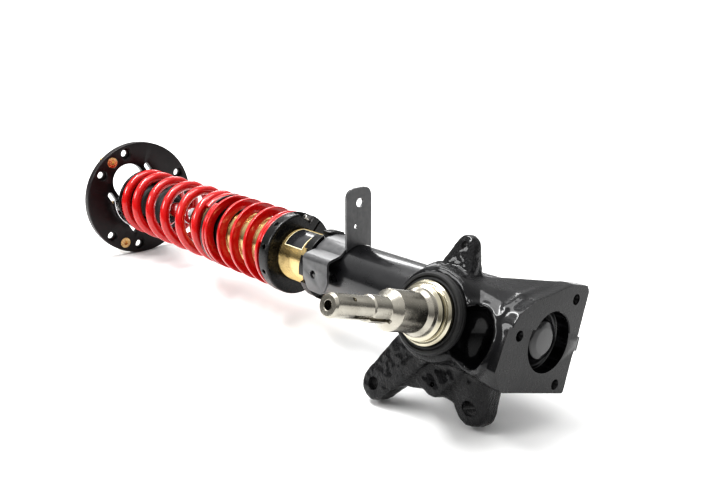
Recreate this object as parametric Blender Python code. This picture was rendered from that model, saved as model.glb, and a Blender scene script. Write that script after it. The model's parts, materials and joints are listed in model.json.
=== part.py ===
"""Front strut coilover with a welded knuckle and stub axle, as separate pieces.

The strut lies on a surface, resting on the rim of its camber plate and on the knuckle's two
caliper ears. The strut axis runs along X: the camber plate is at the -X end and the knuckle's
steering arm face is at the +X end. Sizes are in millimetres and are turned into metres once,
where the meshes are made.
"""

import math

import bmesh
import bpy
from mathutils import Matrix, Vector

MM = 0.001

# Stations along the strut axis, from the camber plate's underside at 0 towards the knuckle.
PLATE_THICKNESS = 10.0
BALL_CENTRE_X = -2.0
SEAT_X = 14.0
SEAT_FLANGE = 4.0
MAIN_SPRING_X = 18.4
COUPLER_X = 220.0
COUPLER_FLANGE = 2.6
PERCH_X = 338.4
PERCH_WIDTH = 14.0
BODY_TOP_X = 172.0
BODY_BOTTOM_X = 516.0
LOCK_RING_X = 397.0
LOCK_RING_WIDTH = 11.0
HOUSING_X = 408.6
HOUSING_END_X = 663.0
FLANGE_BACK_X = 664.0
FLANGE_X = 678.0
SPINDLE_X = 601.0

# Radii.
PLATE_RADIUS = 76.2
CARRIER_RADIUS = 41.0
CARRIER_HALF = 22.9
SEAT_RADIUS = 40.5
SPRING_OUTER = 43.0
MAIN_WIRE = 12.0
TENDER_RADIAL = 10.5
TENDER_AXIAL = 4.6
PERCH_RADIUS = 44.0
BODY_RADIUS = 28.0
BODY_BORE = 25.5
RUNNING = 0.35
LOCK_RING_RADIUS = 36.5
HOUSING_RADIUS = 30.8
HOUSING_BORE = 28.4
ROD_RADIUS = 11.0
TUBE_OUTER = 19.4
TUBE_BORE = 17.8

# Camber plate pattern. Angles are from +Z towards -Y, seen from the knuckle end.
SLIDE_ANGLE = 31.0
GROUP_ANGLES = (35.0, 155.0, 275.0)
GROUP_SPREAD = 19.5
BOLT_CIRCLE = 65.0
WINDOW_RADIUS = 23.5
WINDOW_HALF = 30.0
SLOT_OFFSET = 32.5
SLOT_HALF = 31.5
SLOT_RADIUS = 3.6
CLAMP_HALF = 12.0
SPANNER_ANGLES = tuple(34.0 + 36.0 * i for i in range(10))
PERCH_SLIT_ANGLE = -42.0

# Knuckle: the spindle leans up out of the ground plane, and rakes a little along the strut.
KNUCKLE_ROLL = 18.5
SPINDLE_RAKE = 4.3
SPINDLE_TIP = 189.0
HUB_FACE = 66.0
HUB_RADIUS = 40.0

# Springs: 1 is right-handed. A closed end is given as its turns and its pitch.
SPRING_HAND = 1
MAIN_TURNS = 6.236
MAIN_START_ANGLE = -45.0
MAIN_FIRST_END = (0.7, 13.5)
MAIN_LAST_END = (0.62, 3.0)
TENDER_TURNS = 6.1
TENDER_START_ANGLE = 30.0
TENDER_CLOSED_END = (1.1, 4.9)

COLOURS = {
    "black_anodised": ((0.028, 0.024, 0.026, 1), 0.38, 0.6),
    "gold_zinc": ((0.74, 0.55, 0.22, 1), 0.25, 1.0),
    "bright_aluminium": ((0.72, 0.73, 0.74, 1), 0.3, 1.0),
    "steel": ((0.62, 0.6, 0.57, 1), 0.3, 1.0),
    "chrome": ((0.8, 0.8, 0.82, 1), 0.08, 1.0),
    "red_powder": ((0.62, 0.012, 0.012, 1), 0.25, 0.0),
    "satin_black": ((0.02, 0.021, 0.023, 1), 0.4, 0.1),
    "cast_black": ((0.013, 0.014, 0.016, 1), 0.3, 0.1),
    "soft_black": ((0.03, 0.03, 0.03, 1), 0.8, 0.0),
    "pale_plastic": ((0.78, 0.77, 0.72, 1), 0.6, 0.0),
}


def material(name):
    """Return the named finish as a Principled material."""
    made = bpy.data.materials.get(name)
    if made:
        return made
    colour, roughness, metallic = COLOURS[name]
    made = bpy.data.materials.new(name)
    made.use_nodes = True
    shader = made.node_tree.nodes["Principled BSDF"]
    shader.inputs["Base Color"].default_value = colour
    shader.inputs["Roughness"].default_value = roughness
    shader.inputs["Metallic"].default_value = metallic
    made.diffuse_color = colour
    return made


def polar(angle, radius):
    """Return y, z at an angle from +Z towards -Y."""
    turn = math.radians(angle)
    return -radius * math.sin(turn), radius * math.cos(turn)


def slide_frame():
    """Return the camber slide direction and the direction across it, as (y, z) pairs."""
    return polar(SLIDE_ANGLE, 1.0), polar(SLIDE_ANGLE - 90.0, 1.0)


def on_slide(along, across):
    """Return y, z of a point given along and across the camber slide."""
    run, cross = slide_frame()
    return along * run[0] + across * cross[0], along * run[1] + across * cross[1]


def finish(name, bm, finish_name, cutter=False):
    """Turn a bmesh in millimetres into a named object in the strut's frame."""
    bmesh.ops.scale(bm, vec=(MM, MM, MM), verts=bm.verts)
    bmesh.ops.recalc_face_normals(bm, faces=bm.faces)
    mesh = bpy.data.meshes.new(name)
    bm.to_mesh(mesh)
    bm.free()
    mesh.shade_smooth()
    mesh.set_sharp_from_angle(angle=math.radians(32))
    thing = bpy.data.objects.new(name, mesh)
    bpy.context.collection.objects.link(thing)
    if cutter:
        thing.hide_render = True
        thing.display_type = "WIRE"
    else:
        mesh.materials.append(material(finish_name))
    return thing


def ring_faces(bm, rings, closed):
    """Join consecutive rings of vertices, where a ring of one vertex is a pole."""
    pairs = list(zip(rings, rings[1:]))
    if closed:
        pairs.append((rings[-1], rings[0]))
    for first, second in pairs:
        count = max(len(first), len(second))
        for i in range(count):
            j = (i + 1) % count
            if len(first) == 1:
                bm.faces.new((first[0], second[i], second[j]))
            elif len(second) == 1:
                bm.faces.new((first[i], second[0], first[j]))
            else:
                bm.faces.new((first[i], second[i], second[j], first[j]))


def turned_mesh(profile, segments):
    """Turn a profile of (x, radius) about the X axis; one that ends on the axis is solid."""
    bm = bmesh.new()
    rings = []
    for x, radius in profile:
        if radius == 0:
            rings.append([bm.verts.new((x, 0, 0))])
            continue
        ring = []
        for i in range(segments):
            y, z = polar(360.0 * i / segments, radius)
            ring.append(bm.verts.new((x, y, z)))
        rings.append(ring)
    ring_faces(bm, rings, closed=profile[0][1] != 0)
    return bm


def turned(name, profile, finish_name, segments=32):
    """Make a turned piece about the strut axis."""
    return finish(name, turned_mesh(profile, segments), finish_name)


def prism_mesh(outline, start, end):
    """Extrude an outline of (y, z) along X."""
    bm = bmesh.new()
    near = [bm.verts.new((start, y, z)) for y, z in outline]
    far = [bm.verts.new((end, y, z)) for y, z in outline]
    bm.faces.new(near)
    bm.faces.new(list(reversed(far)))
    for i in range(len(outline)):
        j = (i + 1) % len(outline)
        bm.faces.new((near[i], far[i], far[j], near[j]))
    return bm


def hull_mesh(points):
    """Make the convex hull of a list of points."""
    bm = bmesh.new()
    verts = [bm.verts.new(point) for point in points]
    made = bmesh.ops.convex_hull(bm, input=verts)
    spare = [item for item in made["geom_interior"] if isinstance(item, bmesh.types.BMVert)]
    bmesh.ops.delete(bm, geom=spare, context="VERTS")
    bmesh.ops.dissolve_limit(bm, angle_limit=math.radians(1), verts=bm.verts, edges=bm.edges)
    return bm


def disc_points(centre, axis, radius, segments=24):
    """Return points on a circle about an axis."""
    spin = Vector((0, 0, 1)).rotation_difference(Vector(axis)).to_matrix()
    points = []
    for i in range(segments):
        turn = 2 * math.pi * i / segments
        points.append(Vector(centre) + spin @ Vector((radius * math.cos(turn), radius * math.sin(turn), 0)))
    return points


def rod_mesh(start, end, radius, segments=20, end_radius=None):
    """Make a round bar, or a cone, between two points."""
    axis = Vector(end) - Vector(start)
    far = radius if end_radius is None else end_radius
    bm = bmesh.new()
    near_ring = [bm.verts.new(p) for p in disc_points(start, axis, radius, segments)]
    far_ring = [bm.verts.new(p) for p in disc_points(end, axis, far, segments)]
    bm.faces.new(near_ring)
    bm.faces.new(list(reversed(far_ring)))
    ring_faces(bm, [near_ring, far_ring], closed=False)
    return bm


def racetrack(half, radius, segments, centre=(0.0, 0.0)):
    """Return a slot outline of (y, z), its long way along the camber slide."""
    outline = []
    for i in range(segments + 1):
        turn = math.pi * i / segments
        outline.append((half + radius * math.sin(turn), radius * math.cos(turn)))
    for i in range(segments + 1):
        turn = math.pi * i / segments
        outline.append((-half - radius * math.sin(turn), -radius * math.cos(turn)))
    return [on_slide(along + centre[0], across + centre[1]) for along, across in outline]


def combine(target, tools, operation):
    """Add one Boolean modifier per tool to the target."""
    for tool in tools:
        change = target.modifiers.new(tool.name, "BOOLEAN")
        change.operation = operation
        change.solver = "EXACT"
        change.object = tool


def cut(target, meshes):
    """Cut a list of meshes out of a piece."""
    tools = [finish(f"cut_{target.name}_{i}", bm, None, cutter=True) for i, bm in enumerate(meshes)]
    combine(target, tools, "DIFFERENCE")


def join(target, meshes):
    """Unite a list of meshes with a piece."""
    tools = [finish(f"add_{target.name}_{i}", bm, None, cutter=True) for i, bm in enumerate(meshes)]
    combine(target, tools, "UNION")


def moved(bm, matrix):
    """Move a mesh that is still in millimetres."""
    bmesh.ops.transform(bm, matrix=matrix, verts=bm.verts)
    return bm


def along_x(bm, x, y, z):
    """Shift a mesh that was made on the strut axis."""
    return moved(bm, Matrix.Translation((x, y, z)))


# Camber plate and bearing carrier


def camber_plate():
    """Plate with a window and two slots for the carrier, and three groups of fixing holes."""
    edge = 1.6
    plate = turned(
        "camber_plate",
        [
            (0, 0),
            (0, PLATE_RADIUS - edge),
            (-edge, PLATE_RADIUS),
            (edge - PLATE_THICKNESS, PLATE_RADIUS),
            (-PLATE_THICKNESS, PLATE_RADIUS - edge),
            (-PLATE_THICKNESS, 0),
        ],
        "black_anodised",
        segments=48,
    )
    through = (-PLATE_THICKNESS - 2, 2)
    tools = [prism_mesh(racetrack(WINDOW_HALF, WINDOW_RADIUS, 12), *through)]
    for side in (-1, 1):
        tools.append(prism_mesh(racetrack(SLOT_HALF, SLOT_RADIUS, 6, (0, side * SLOT_OFFSET)), *through))
    for group in GROUP_ANGLES:
        for side in (-1, 1):
            y, z = polar(group + side * GROUP_SPREAD, BOLT_CIRCLE)
            profile = [(2, 0), (2, 7), (-6, 7), (-6, 4.5), (-PLATE_THICKNESS - 2, 4.5), (-PLATE_THICKNESS - 2, 0)]
            tools.append(along_x(turned_mesh(profile, 12), 0, y, z))
        y, z = polar(group, BOLT_CIRCLE)
        profile = [(2, 0), (2, 7.6), (0, 7.6), (-4.5, 4.4), (-PLATE_THICKNESS - 2, 4.4), (-PLATE_THICKNESS - 2, 0)]
        tools.append(along_x(turned_mesh(profile, 12), 0, y, z))
    cut(plate, tools)


def plate_screws():
    """Three countersunk studs that hold the plate to the body shell."""
    for i, group in enumerate(GROUP_ANGLES):
        y, z = polar(group, BOLT_CIRCLE)
        profile = [
            (-2.6, 0),
            (-2.6, 2.6),
            (-0.3, 2.8),
            (-0.3, 7.1),
            (-0.7, 7.1),
            (-4.3, 4.0),
            (-31, 4.0),
            (-32, 3.2),
            (-32, 0),
        ]
        bm = turned_mesh(profile, 12)
        finish(f"plate_screw_{i + 1}", along_x(bm, 0, y, z), "gold_zinc")


def clamp_places():
    """Yield the four places where the carrier is bolted through the slots."""
    for across in (-SLOT_OFFSET, SLOT_OFFSET):
        for along in (-CLAMP_HALF, CLAMP_HALF):
            yield on_slide(along, across)


def bearing_carrier():
    """Flanged housing of the spherical bearing, which slides in the plate's window."""
    carrier = turned(
        "bearing_carrier",
        [
            (0.4, WINDOW_RADIUS - 0.7),
            (0.4, CARRIER_RADIUS - 1),
            (1.2, CARRIER_RADIUS),
            (4.6, CARRIER_RADIUS),
            (5.4, CARRIER_RADIUS - 0.8),
            (5.4, 15.8),
            (4.2, 15.8),
            (4.2, 19.0),
            (-10.4, 19.0),
            (-10.4, WINDOW_RADIUS - 0.7),
        ],
        "bright_aluminium",
        segments=28,
    )
    tools = [along_x(rod_mesh((-2, 0, 0), (8, 0, 0), 3.4, 8), 0, y, z) for y, z in clamp_places()]
    for side in (-1, 1):
        corners = ((CARRIER_HALF, -60), (60, -60), (60, 60), (CARRIER_HALF, 60))
        tools.append(prism_mesh([on_slide(side * along, across) for along, across in corners], -1, 8))
    cut(carrier, tools)


def carrier_bolts():
    """Socket bolts with a nut above the plate, one piece each."""
    for i, (y, z) in enumerate(clamp_places()):
        profile = [(8.4, 0), (8.4, 2.6), (10.4, 2.6), (10.4, 4.6), (9.9, 5), (5.7, 5), (5.7, 3), (-17, 3), (-17, 0)]
        finish(f"carrier_bolt_{i + 1}", along_x(turned_mesh(profile, 10), 0, y, z), "steel")
        nut = hex_ring(5.4, 3.3, -10.3 - 5, -10.3)
        finish(f"carrier_nut_{i + 1}", along_x(nut, 0, y, z), "gold_zinc")


def hex_ring(across_corner, bore, start, end, segments=12):
    """Make a nut about the X axis with six corners."""
    bm = bmesh.new()
    rings = []
    flat = across_corner * math.cos(math.pi / 6)
    for x, hole in ((start, False), (end, False), (end, True), (start, True)):
        ring = []
        for i in range(segments):
            radius = bore if hole else (across_corner if i % 2 == 0 else flat)
            y, z = polar(360.0 * i / segments, radius)
            ring.append(bm.verts.new((x, y, z)))
        rings.append(ring)
    ring_faces(bm, rings, closed=True)
    return bm


def arc_profile(radius, start, end, steps):
    """Return (x, radius) points of an arc about the ball's centre, by angle from the axis."""
    points = []
    for i in range(steps + 1):
        turn = math.radians(start + (end - start) * i / steps)
        points.append((BALL_CENTRE_X - radius * math.cos(turn), radius * math.sin(turn)))
    return points


def spherical_bearing():
    """Race, liner and ball of the top mount, with the ring that holds the race."""
    race_half = 6.0
    race_inner = 14.4
    lip = math.degrees(math.acos(race_half / race_inner))
    inside = arc_profile(race_inner, lip, 180 - lip, 6)
    outside = [(BALL_CENTRE_X + race_half, 18.65), (BALL_CENTRE_X - race_half, 18.65)]
    turned("bearing_race", inside + outside, "steel", 18)
    liner = arc_profile(14.0, 70, 110, 4) + list(reversed(arc_profile(13.2, 70, 110, 4)))
    turned("bearing_liner", liner, "pale_plastic", 18)
    ball = arc_profile(12.7, 42, 138, 6)
    ends = [(ball[-1][0], 7.0), (ball[0][0], 7.0)]
    turned("bearing_ball", ball + ends, "chrome", 18)
    outer = 18.7
    ring = bmesh.new()
    rings = []
    steps = 12
    for i in range(steps + 1):
        angle = 20.0 + 320.0 * i / steps
        section = ((-8.4, outer - 2.6), (-8.4, outer), (-9.8, outer), (-9.8, outer - 2.6))
        rings.append([ring.verts.new((x, *polar(angle, radius))) for x, radius in section])
    ring_faces(ring, rings, closed=False)
    ring.faces.new(rings[0])
    ring.faces.new(list(reversed(rings[-1])))
    finish("race_circlip", ring, "steel")


# Springs and their seats


def spring(name, section, centre_radius, height, turns, steps, finish_name, phase):
    """Coil a section of (radial, axial) points; height gives x for a share of all the turns."""
    bm = bmesh.new()
    rings = []
    total = int(turns * steps)
    for i in range(total + 1):
        angle = phase + SPRING_HAND * 360.0 * i / steps
        x = height(i / steps)
        rings.append([bm.verts.new((x + axial, *polar(angle, centre_radius + radial))) for radial, axial in section])
    ring_faces(bm, rings, closed=False)
    bm.faces.new(rings[0])
    bm.faces.new(list(reversed(rings[-1])))
    finish(name, bm, finish_name)


def coil_height(start, end, turns, first, last):
    """Return a function of the turn that closes a spring's first and last (turns, pitch)."""
    low = start + first[0] * first[1]
    high = end - last[0] * last[1]
    open_turns = turns - first[0] - last[0]

    def height(turn):
        if turn < first[0]:
            return start + first[1] * turn
        if turn > turns - last[0]:
            return end - last[1] * (turns - turn)
        return low + (high - low) * (turn - first[0]) / open_turns

    return height


def main_spring():
    """Round wire spring between the upper seat and the coupler."""
    wire = MAIN_WIRE / 2
    sides = 6
    section = []
    for i in range(sides):
        turn = 2 * math.pi * (i + 0.5) / sides
        section.append((wire * math.cos(turn), wire * math.sin(turn)))
    start = MAIN_SPRING_X + wire
    end = COUPLER_X - 0.4 - wire
    height = coil_height(start, end, MAIN_TURNS, MAIN_FIRST_END, MAIN_LAST_END)
    centre = SPRING_OUTER - wire
    spring("main_spring", section, centre, height, MAIN_TURNS, 14, "red_powder", MAIN_START_ANGLE)


def tender_spring():
    """Flat wire spring, wound on edge, between the coupler and the perch."""
    radial = TENDER_RADIAL / 2
    axial = TENDER_AXIAL / 2
    section = [(-radial, -axial), (radial, -axial), (radial, axial), (-radial, axial)]
    start = COUPLER_X + COUPLER_FLANGE + 0.3 + axial
    end = PERCH_X - 0.4 - axial
    height = coil_height(start, end, TENDER_TURNS, TENDER_CLOSED_END, TENDER_CLOSED_END)
    centre = SPRING_OUTER - radial
    spring("tender_spring", section, centre, height, TENDER_TURNS, 16, "red_powder", TENDER_START_ANGLE)


def spring_seats():
    """Upper seat on the rod, and the coupler between the two springs."""
    turned(
        "upper_spring_seat",
        [
            (SEAT_X, ROD_RADIUS - 2.2),
            (SEAT_X, SEAT_RADIUS - 1),
            (SEAT_X + 1, SEAT_RADIUS),
            (SEAT_X + SEAT_FLANGE, SEAT_RADIUS),
            (SEAT_X + SEAT_FLANGE, 30.2),
            (SEAT_X + 13, 29.6),
            (SEAT_X + 13, 24),
            (SEAT_X + 7, 24),
            (SEAT_X + 7, ROD_RADIUS - 2.2),
        ],
        "satin_black",
        28,
    )
    face = COUPLER_X
    turned(
        "spring_coupler",
        [
            (face, 30.6),
            (face, SPRING_OUTER - 0.6),
            (face + COUPLER_FLANGE, SPRING_OUTER - 0.6),
            (face + COUPLER_FLANGE, 30.6),
            (face + 30, 30.6),
            (face + 30, BODY_RADIUS + 0.8),
            (face - 16, BODY_RADIUS + 0.8),
            (face - 16, 30.6),
        ],
        "satin_black",
        28,
    )


def spring_perch():
    """Lower collar: a split clamp with spanner holes and a pocket for its screw."""
    front = PERCH_X + PERCH_WIDTH
    perch = turned(
        "spring_perch",
        [
            (PERCH_X, BODY_RADIUS + RUNNING),
            (PERCH_X, PERCH_RADIUS - 1),
            (PERCH_X + 1, PERCH_RADIUS),
            (front - 2.5, PERCH_RADIUS),
            (front, PERCH_RADIUS - 2.5),
            (front, BODY_RADIUS + RUNNING),
        ],
        "black_anodised",
        segments=36,
    )
    middle = PERCH_X + PERCH_WIDTH / 2
    tools = []
    for angle in SPANNER_ANGLES:
        y0, z0 = polar(angle, PERCH_RADIUS - 6)
        y1, z1 = polar(angle, PERCH_RADIUS + 4)
        tools.append(rod_mesh((middle, y0, z0), (middle, y1, z1), 2.7, 8))
    slit = prism_mesh([(-1.1, 20), (1.1, 20), (1.1, 60), (-1.1, 60)], PERCH_X - 2, front + 2)
    roll = Matrix.Rotation(math.radians(PERCH_SLIT_ANGLE), 4, "X")
    tools.append(moved(slit, roll))
    pocket = prism_mesh([(-30, 33.2), (-9, 33.2), (-9, 60), (-30, 60)], PERCH_X + 2.5, front + 2)
    tools.append(moved(pocket, roll))
    bore = rod_mesh((middle + 0.7, -20, 36.4), (middle + 0.7, 14, 36.4), 2.5, 10)
    tools.append(moved(bore, roll))
    cut(perch, tools)
    screw = turned_mesh([(-3, 0), (-3, 1.8), (0, 1.8), (0, 3.2), (4, 3.2), (4, 2.1), (20, 2.1), (20, 0)], 12)
    stand = Matrix.Translation((middle + 0.7, -13.4, 36.4)) @ Matrix.Rotation(math.radians(90), 4, "Z")
    finish("perch_clamp_screw", moved(screw, roll @ stand), "steel")


# Damper


def damper():
    """Rod, piston, pressure tube, base valve and the gland of the twin-tube damper."""
    top = -24.0
    piston_x = 226.0
    turned(
        "piston_rod",
        [
            (top, 0),
            (top, 5.6),
            (top + 1, 6.6),
            (8.0, 6.6),
            (8.0, ROD_RADIUS - 2.6),
            (SEAT_X + 8, ROD_RADIUS - 2.6),
            (SEAT_X + 8, ROD_RADIUS),
            (piston_x - 0.5, ROD_RADIUS),
            (piston_x - 0.5, 6),
            (piston_x + 26, 6),
            (piston_x + 26, 0),
        ],
        "chrome",
        18,
    )
    lock = hex_ring(11.5, 6.9, BALL_CENTRE_X - 19, BALL_CENTRE_X - 9.9)
    finish("rod_top_nut", lock, "gold_zinc")
    bump = [(25, 11.4), (25, 20)]
    for i in range(3):
        x = 25 + 18 * i
        bump += [(x + 3, 22), (x + 13, 22), (x + 17, 18)]
    bump += [(86, 15), (88, 11.4)]
    turned("bump_stop", bump, "soft_black", 16)
    turned(
        "gland_nut",
        [
            (BODY_TOP_X - 5, 11.9),
            (BODY_TOP_X - 5, 18),
            (BODY_TOP_X - 3, 24.6),
            (BODY_TOP_X + 1, 25.1),
            (BODY_TOP_X + 16, 25.1),
            (BODY_TOP_X + 16, 11.9),
        ],
        "satin_black",
        24,
    )
    seal_x = BODY_TOP_X + 16.4
    turned("rod_seal", [(seal_x, 11.5), (seal_x, 24.6), (seal_x + 5, 24.6), (seal_x + 5, 11.5)], "soft_black", 24)
    guide_x = seal_x + 5.4
    turned(
        "rod_guide",
        [
            (guide_x, 11.5),
            (guide_x, 25),
            (guide_x + 6, 25),
            (guide_x + 6, TUBE_OUTER + 0.4),
            (guide_x + 6, 17.2),
            (guide_x + 14, 17.2),
            (guide_x + 14, 11.5),
        ],
        "steel",
        24,
    )
    tube_end = 500.0
    tube_start = guide_x + 6.4
    turned(
        "pressure_tube",
        [(tube_start, TUBE_BORE), (tube_start, TUBE_OUTER), (tube_end, TUBE_OUTER), (tube_end, TUBE_BORE)],
        "steel",
        24,
    )
    piston = turned_mesh(
        [
            (piston_x, 6.3),
            (piston_x, 17.2),
            (piston_x + 15, 17.2),
            (piston_x + 15, 6.3),
        ],
        24,
    )
    finish("piston", piston, "steel")
    finish("piston_nut", hex_ring(10, 6.3, piston_x + 15.4, piston_x + 23), "steel")
    valve = [
        (tube_end - 10, 0),
        (tube_end - 10, 17.2),
        (tube_end + 0.4, 17.2),
        (tube_end + 0.4, TUBE_OUTER + 3),
        (tube_end + 6, TUBE_OUTER + 3),
        (tube_end + 10, 8),
        (tube_end + 10, 0),
    ]
    turned("base_valve", valve, "steel", 24)
    turned(
        "threaded_body",
        [
            (BODY_BOTTOM_X, 0),
            (BODY_BOTTOM_X, BODY_RADIUS - 3),
            (BODY_BOTTOM_X - 3, BODY_RADIUS),
            (BODY_TOP_X, BODY_RADIUS),
            (BODY_TOP_X, BODY_BORE),
            (BODY_BOTTOM_X - 5, BODY_BORE),
            (BODY_BOTTOM_X - 5, 0),
        ],
        "gold_zinc",
        32,
    )


def lock_ring():
    """Castellated ring that jams the threaded body in the housing."""
    ring = turned(
        "lock_ring",
        [
            (LOCK_RING_X, BODY_RADIUS + RUNNING),
            (LOCK_RING_X, LOCK_RING_RADIUS - 1),
            (LOCK_RING_X + 1, LOCK_RING_RADIUS),
            (LOCK_RING_X + LOCK_RING_WIDTH - 1, LOCK_RING_RADIUS),
            (LOCK_RING_X + LOCK_RING_WIDTH, LOCK_RING_RADIUS - 1),
            (LOCK_RING_X + LOCK_RING_WIDTH, BODY_RADIUS + RUNNING),
        ],
        "black_anodised",
        segments=32,
    )
    tools = []
    for i in range(8):
        slot = prism_mesh([(-4, 32), (4, 32), (4, 50), (-4, 50)], LOCK_RING_X - 2, LOCK_RING_X + 20)
        tools.append(moved(slot, Matrix.Rotation(math.radians(45 * i + 12), 4, "X")))
    cut(ring, tools)


# Housing, bracket, knuckle and stub axle


def strut_housing():
    """Tube that takes the threaded body, with a domed end."""
    turned(
        "strut_housing",
        [
            (HOUSING_END_X - 1, 0),
            (HOUSING_END_X - 2, 14),
            (HOUSING_END_X - 6, 23),
            (HOUSING_END_X, 25.4),
            (HOUSING_END_X, HOUSING_RADIUS),
            (HOUSING_X + 1, HOUSING_RADIUS),
            (HOUSING_X, HOUSING_RADIUS - 1),
            (HOUSING_X, HOUSING_BORE),
            (HOUSING_END_X - 14, HOUSING_BORE),
            (HOUSING_END_X - 14, 0),
        ],
        "satin_black",
        segments=32,
    )


def sheet_mesh(centreline, thickness, start, end):
    """Extrude a bent strip along X from the centreline of its section."""
    left = []
    right = []
    count = len(centreline)
    for i, point in enumerate(centreline):
        before = Vector(centreline[max(i - 1, 0)])
        after = Vector(centreline[min(i + 1, count - 1)])
        run = (after - before).normalized()
        normal = Vector((-run.y, run.x)) * thickness / 2
        left.append(tuple(Vector(point) + normal))
        right.append(tuple(Vector(point) - normal))
    return prism_mesh(left + list(reversed(right)), start, end)


def hose_bracket():
    """Folded sheet bracket: a saddle on the tube, an upright ear and a folded-down ear."""
    sheet = 2.6
    radius = HOUSING_RADIUS + 0.35 + sheet / 2
    saddle_angles = [-28 + 12 * i for i in range(7)]
    line = [polar(angle, radius) for angle in saddle_angles]
    ear_y = -39.0
    fold = polar(saddle_angles[-1], radius)
    line += [(ear_y + 2.0, fold[1] - 2.4), (ear_y, fold[1] - 4.6), (ear_y, fold[1] - 12), (ear_y, -14.0)]
    bracket = finish("hose_bracket", sheet_mesh(line, sheet, 409.4, 447.0), "satin_black")
    ear_x = 448.0
    top = 89.0
    half = 16.0
    corner = 11.0
    outline = [(half, 24.0), (-half, 24.0)]
    for i in range(5):
        turn = math.radians(180 - 22.5 * i)
        outline.append((-half + corner + corner * math.cos(turn), top - corner + corner * math.sin(turn)))
    for i in range(5):
        turn = math.radians(90 - 22.5 * i)
        outline.append((half - corner + corner * math.cos(turn), top - corner + corner * math.sin(turn)))
    join(bracket, [prism_mesh(outline, ear_x - sheet / 2 - 0.9, ear_x + sheet / 2 - 0.9)])
    clear = rod_mesh((400, 0, 0), (480, 0, 0), HOUSING_RADIUS + 0.5, 32)
    holes = [
        rod_mesh((440, 1, 74), (456, 1, 74), 4.6, 12),
        rod_mesh((440, -4, 51), (456, -4, 51), 2.4, 10),
        rod_mesh((425, ear_y - 8, 4), (425, ear_y + 8, 4), 4.2, 12),
    ]
    trims = []
    for side in (-1, 1):
        edge = 428.2 + side * 18.8
        trims.append(
            hull_mesh(
                [
                    (edge + side, y, z)
                    for y in (ear_y - 6, ear_y + 6)
                    for z in (2.0, -20.0)
                ]
                + [(edge - side * 12, y, -20.0) for y in (ear_y - 6, ear_y + 6)]
                + [(edge + side * 8, y, z) for y in (ear_y - 6, ear_y + 6) for z in (2.0, -20.0)]
            )
        )
    cut(bracket, [clear] + holes + trims)


def knuckle_frame():
    """Return the matrix from the knuckle's own X, P (outward) and Q (across) to the strut."""
    roll = math.radians(KNUCKLE_ROLL)
    outward = Vector((0, -math.cos(roll), math.sin(roll)))
    across = Vector((0, math.sin(roll), math.cos(roll)))
    frame = Matrix.Identity(4)
    for row in range(3):
        frame[row][1] = outward[row]
        frame[row][2] = across[row]
    frame[0][3] = SPINDLE_X
    return frame


def spindle_axis():
    """Return the spindle's direction in the knuckle's own axes."""
    rake = math.radians(SPINDLE_RAKE)
    return Vector((math.sin(rake), math.cos(rake), 0))


def on_spindle(reach, x=0.0, q=0.0):
    """Return a point at a reach from the strut axis, offset in the plane across the spindle."""
    rake = math.radians(SPINDLE_RAKE)
    side = Vector((math.cos(rake), -math.sin(rake), 0))
    return spindle_axis() * reach + side * x + Vector((0, 0, q))


def lug(x, q, radius, near, far, root_x, root_q, root_radius, root_near, root_far, segments=12):
    """Make an ear: the hull of a round end and a round root, each between two reaches."""
    axis = spindle_axis()
    points = []
    for reach in (near, far):
        points += disc_points(on_spindle(reach, x, q), axis, radius, segments)
    for reach in (root_near, root_far):
        points += disc_points(on_spindle(reach, root_x, root_q), axis, root_radius, segments)
    return hull_mesh(points)


EARS = {
    "left": {"x": -54.0, "q": -77.18, "radius": 14.6, "near": 30.0, "far": 49.0, "hole": 5.8},
    "right": {"x": 36.0, "q": -68.39, "radius": 15.6, "near": 13.4, "far": 30.4, "hole": 6.6},
    "upper": {"x": 3.0, "q": 60.0, "radius": 9.5, "near": 37.0, "far": 47.0, "hole": 3.0},
    "boss": {"x": 3.0, "q": -59.0, "radius": 11.0, "near": 34.0, "far": 45.0, "hole": 2.2},
}
EAR_ROOTS = {
    "left": (-14.0, -26.0, 20.0, 32.0, 54.0),
    "right": (22.0, -24.0, 27.0, 14.0, 42.0),
    "upper": (2.0, 26.0, 20.0, 34.0, 54.0),
    "boss": (0.0, -30.0, 30.0, 28.0, 46.0),
}
FLANGE_OUTLINE = (
    (-38.0, -42.0),
    (47.0, -43.0),
    (60.0, -27.0),
    (58.0, -8.0),
    (56.0, 11.0),
    (50.0, 22.0),
    (33.0, 33.0),
    (13.0, 40.0),
    (-12.0, 50.0),
    (-33.0, 51.0),
    (-37.5, 47.0),
)
FLANGE_HOLES = ((-21.0, 38.0), (-23.5, -34.5), (40.0, 3.0))
FLANGE_TAB = ((-43.5, -5.0), (-43.5, 7.0), (-34.0, 7.0), (-34.0, -5.0))


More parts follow.
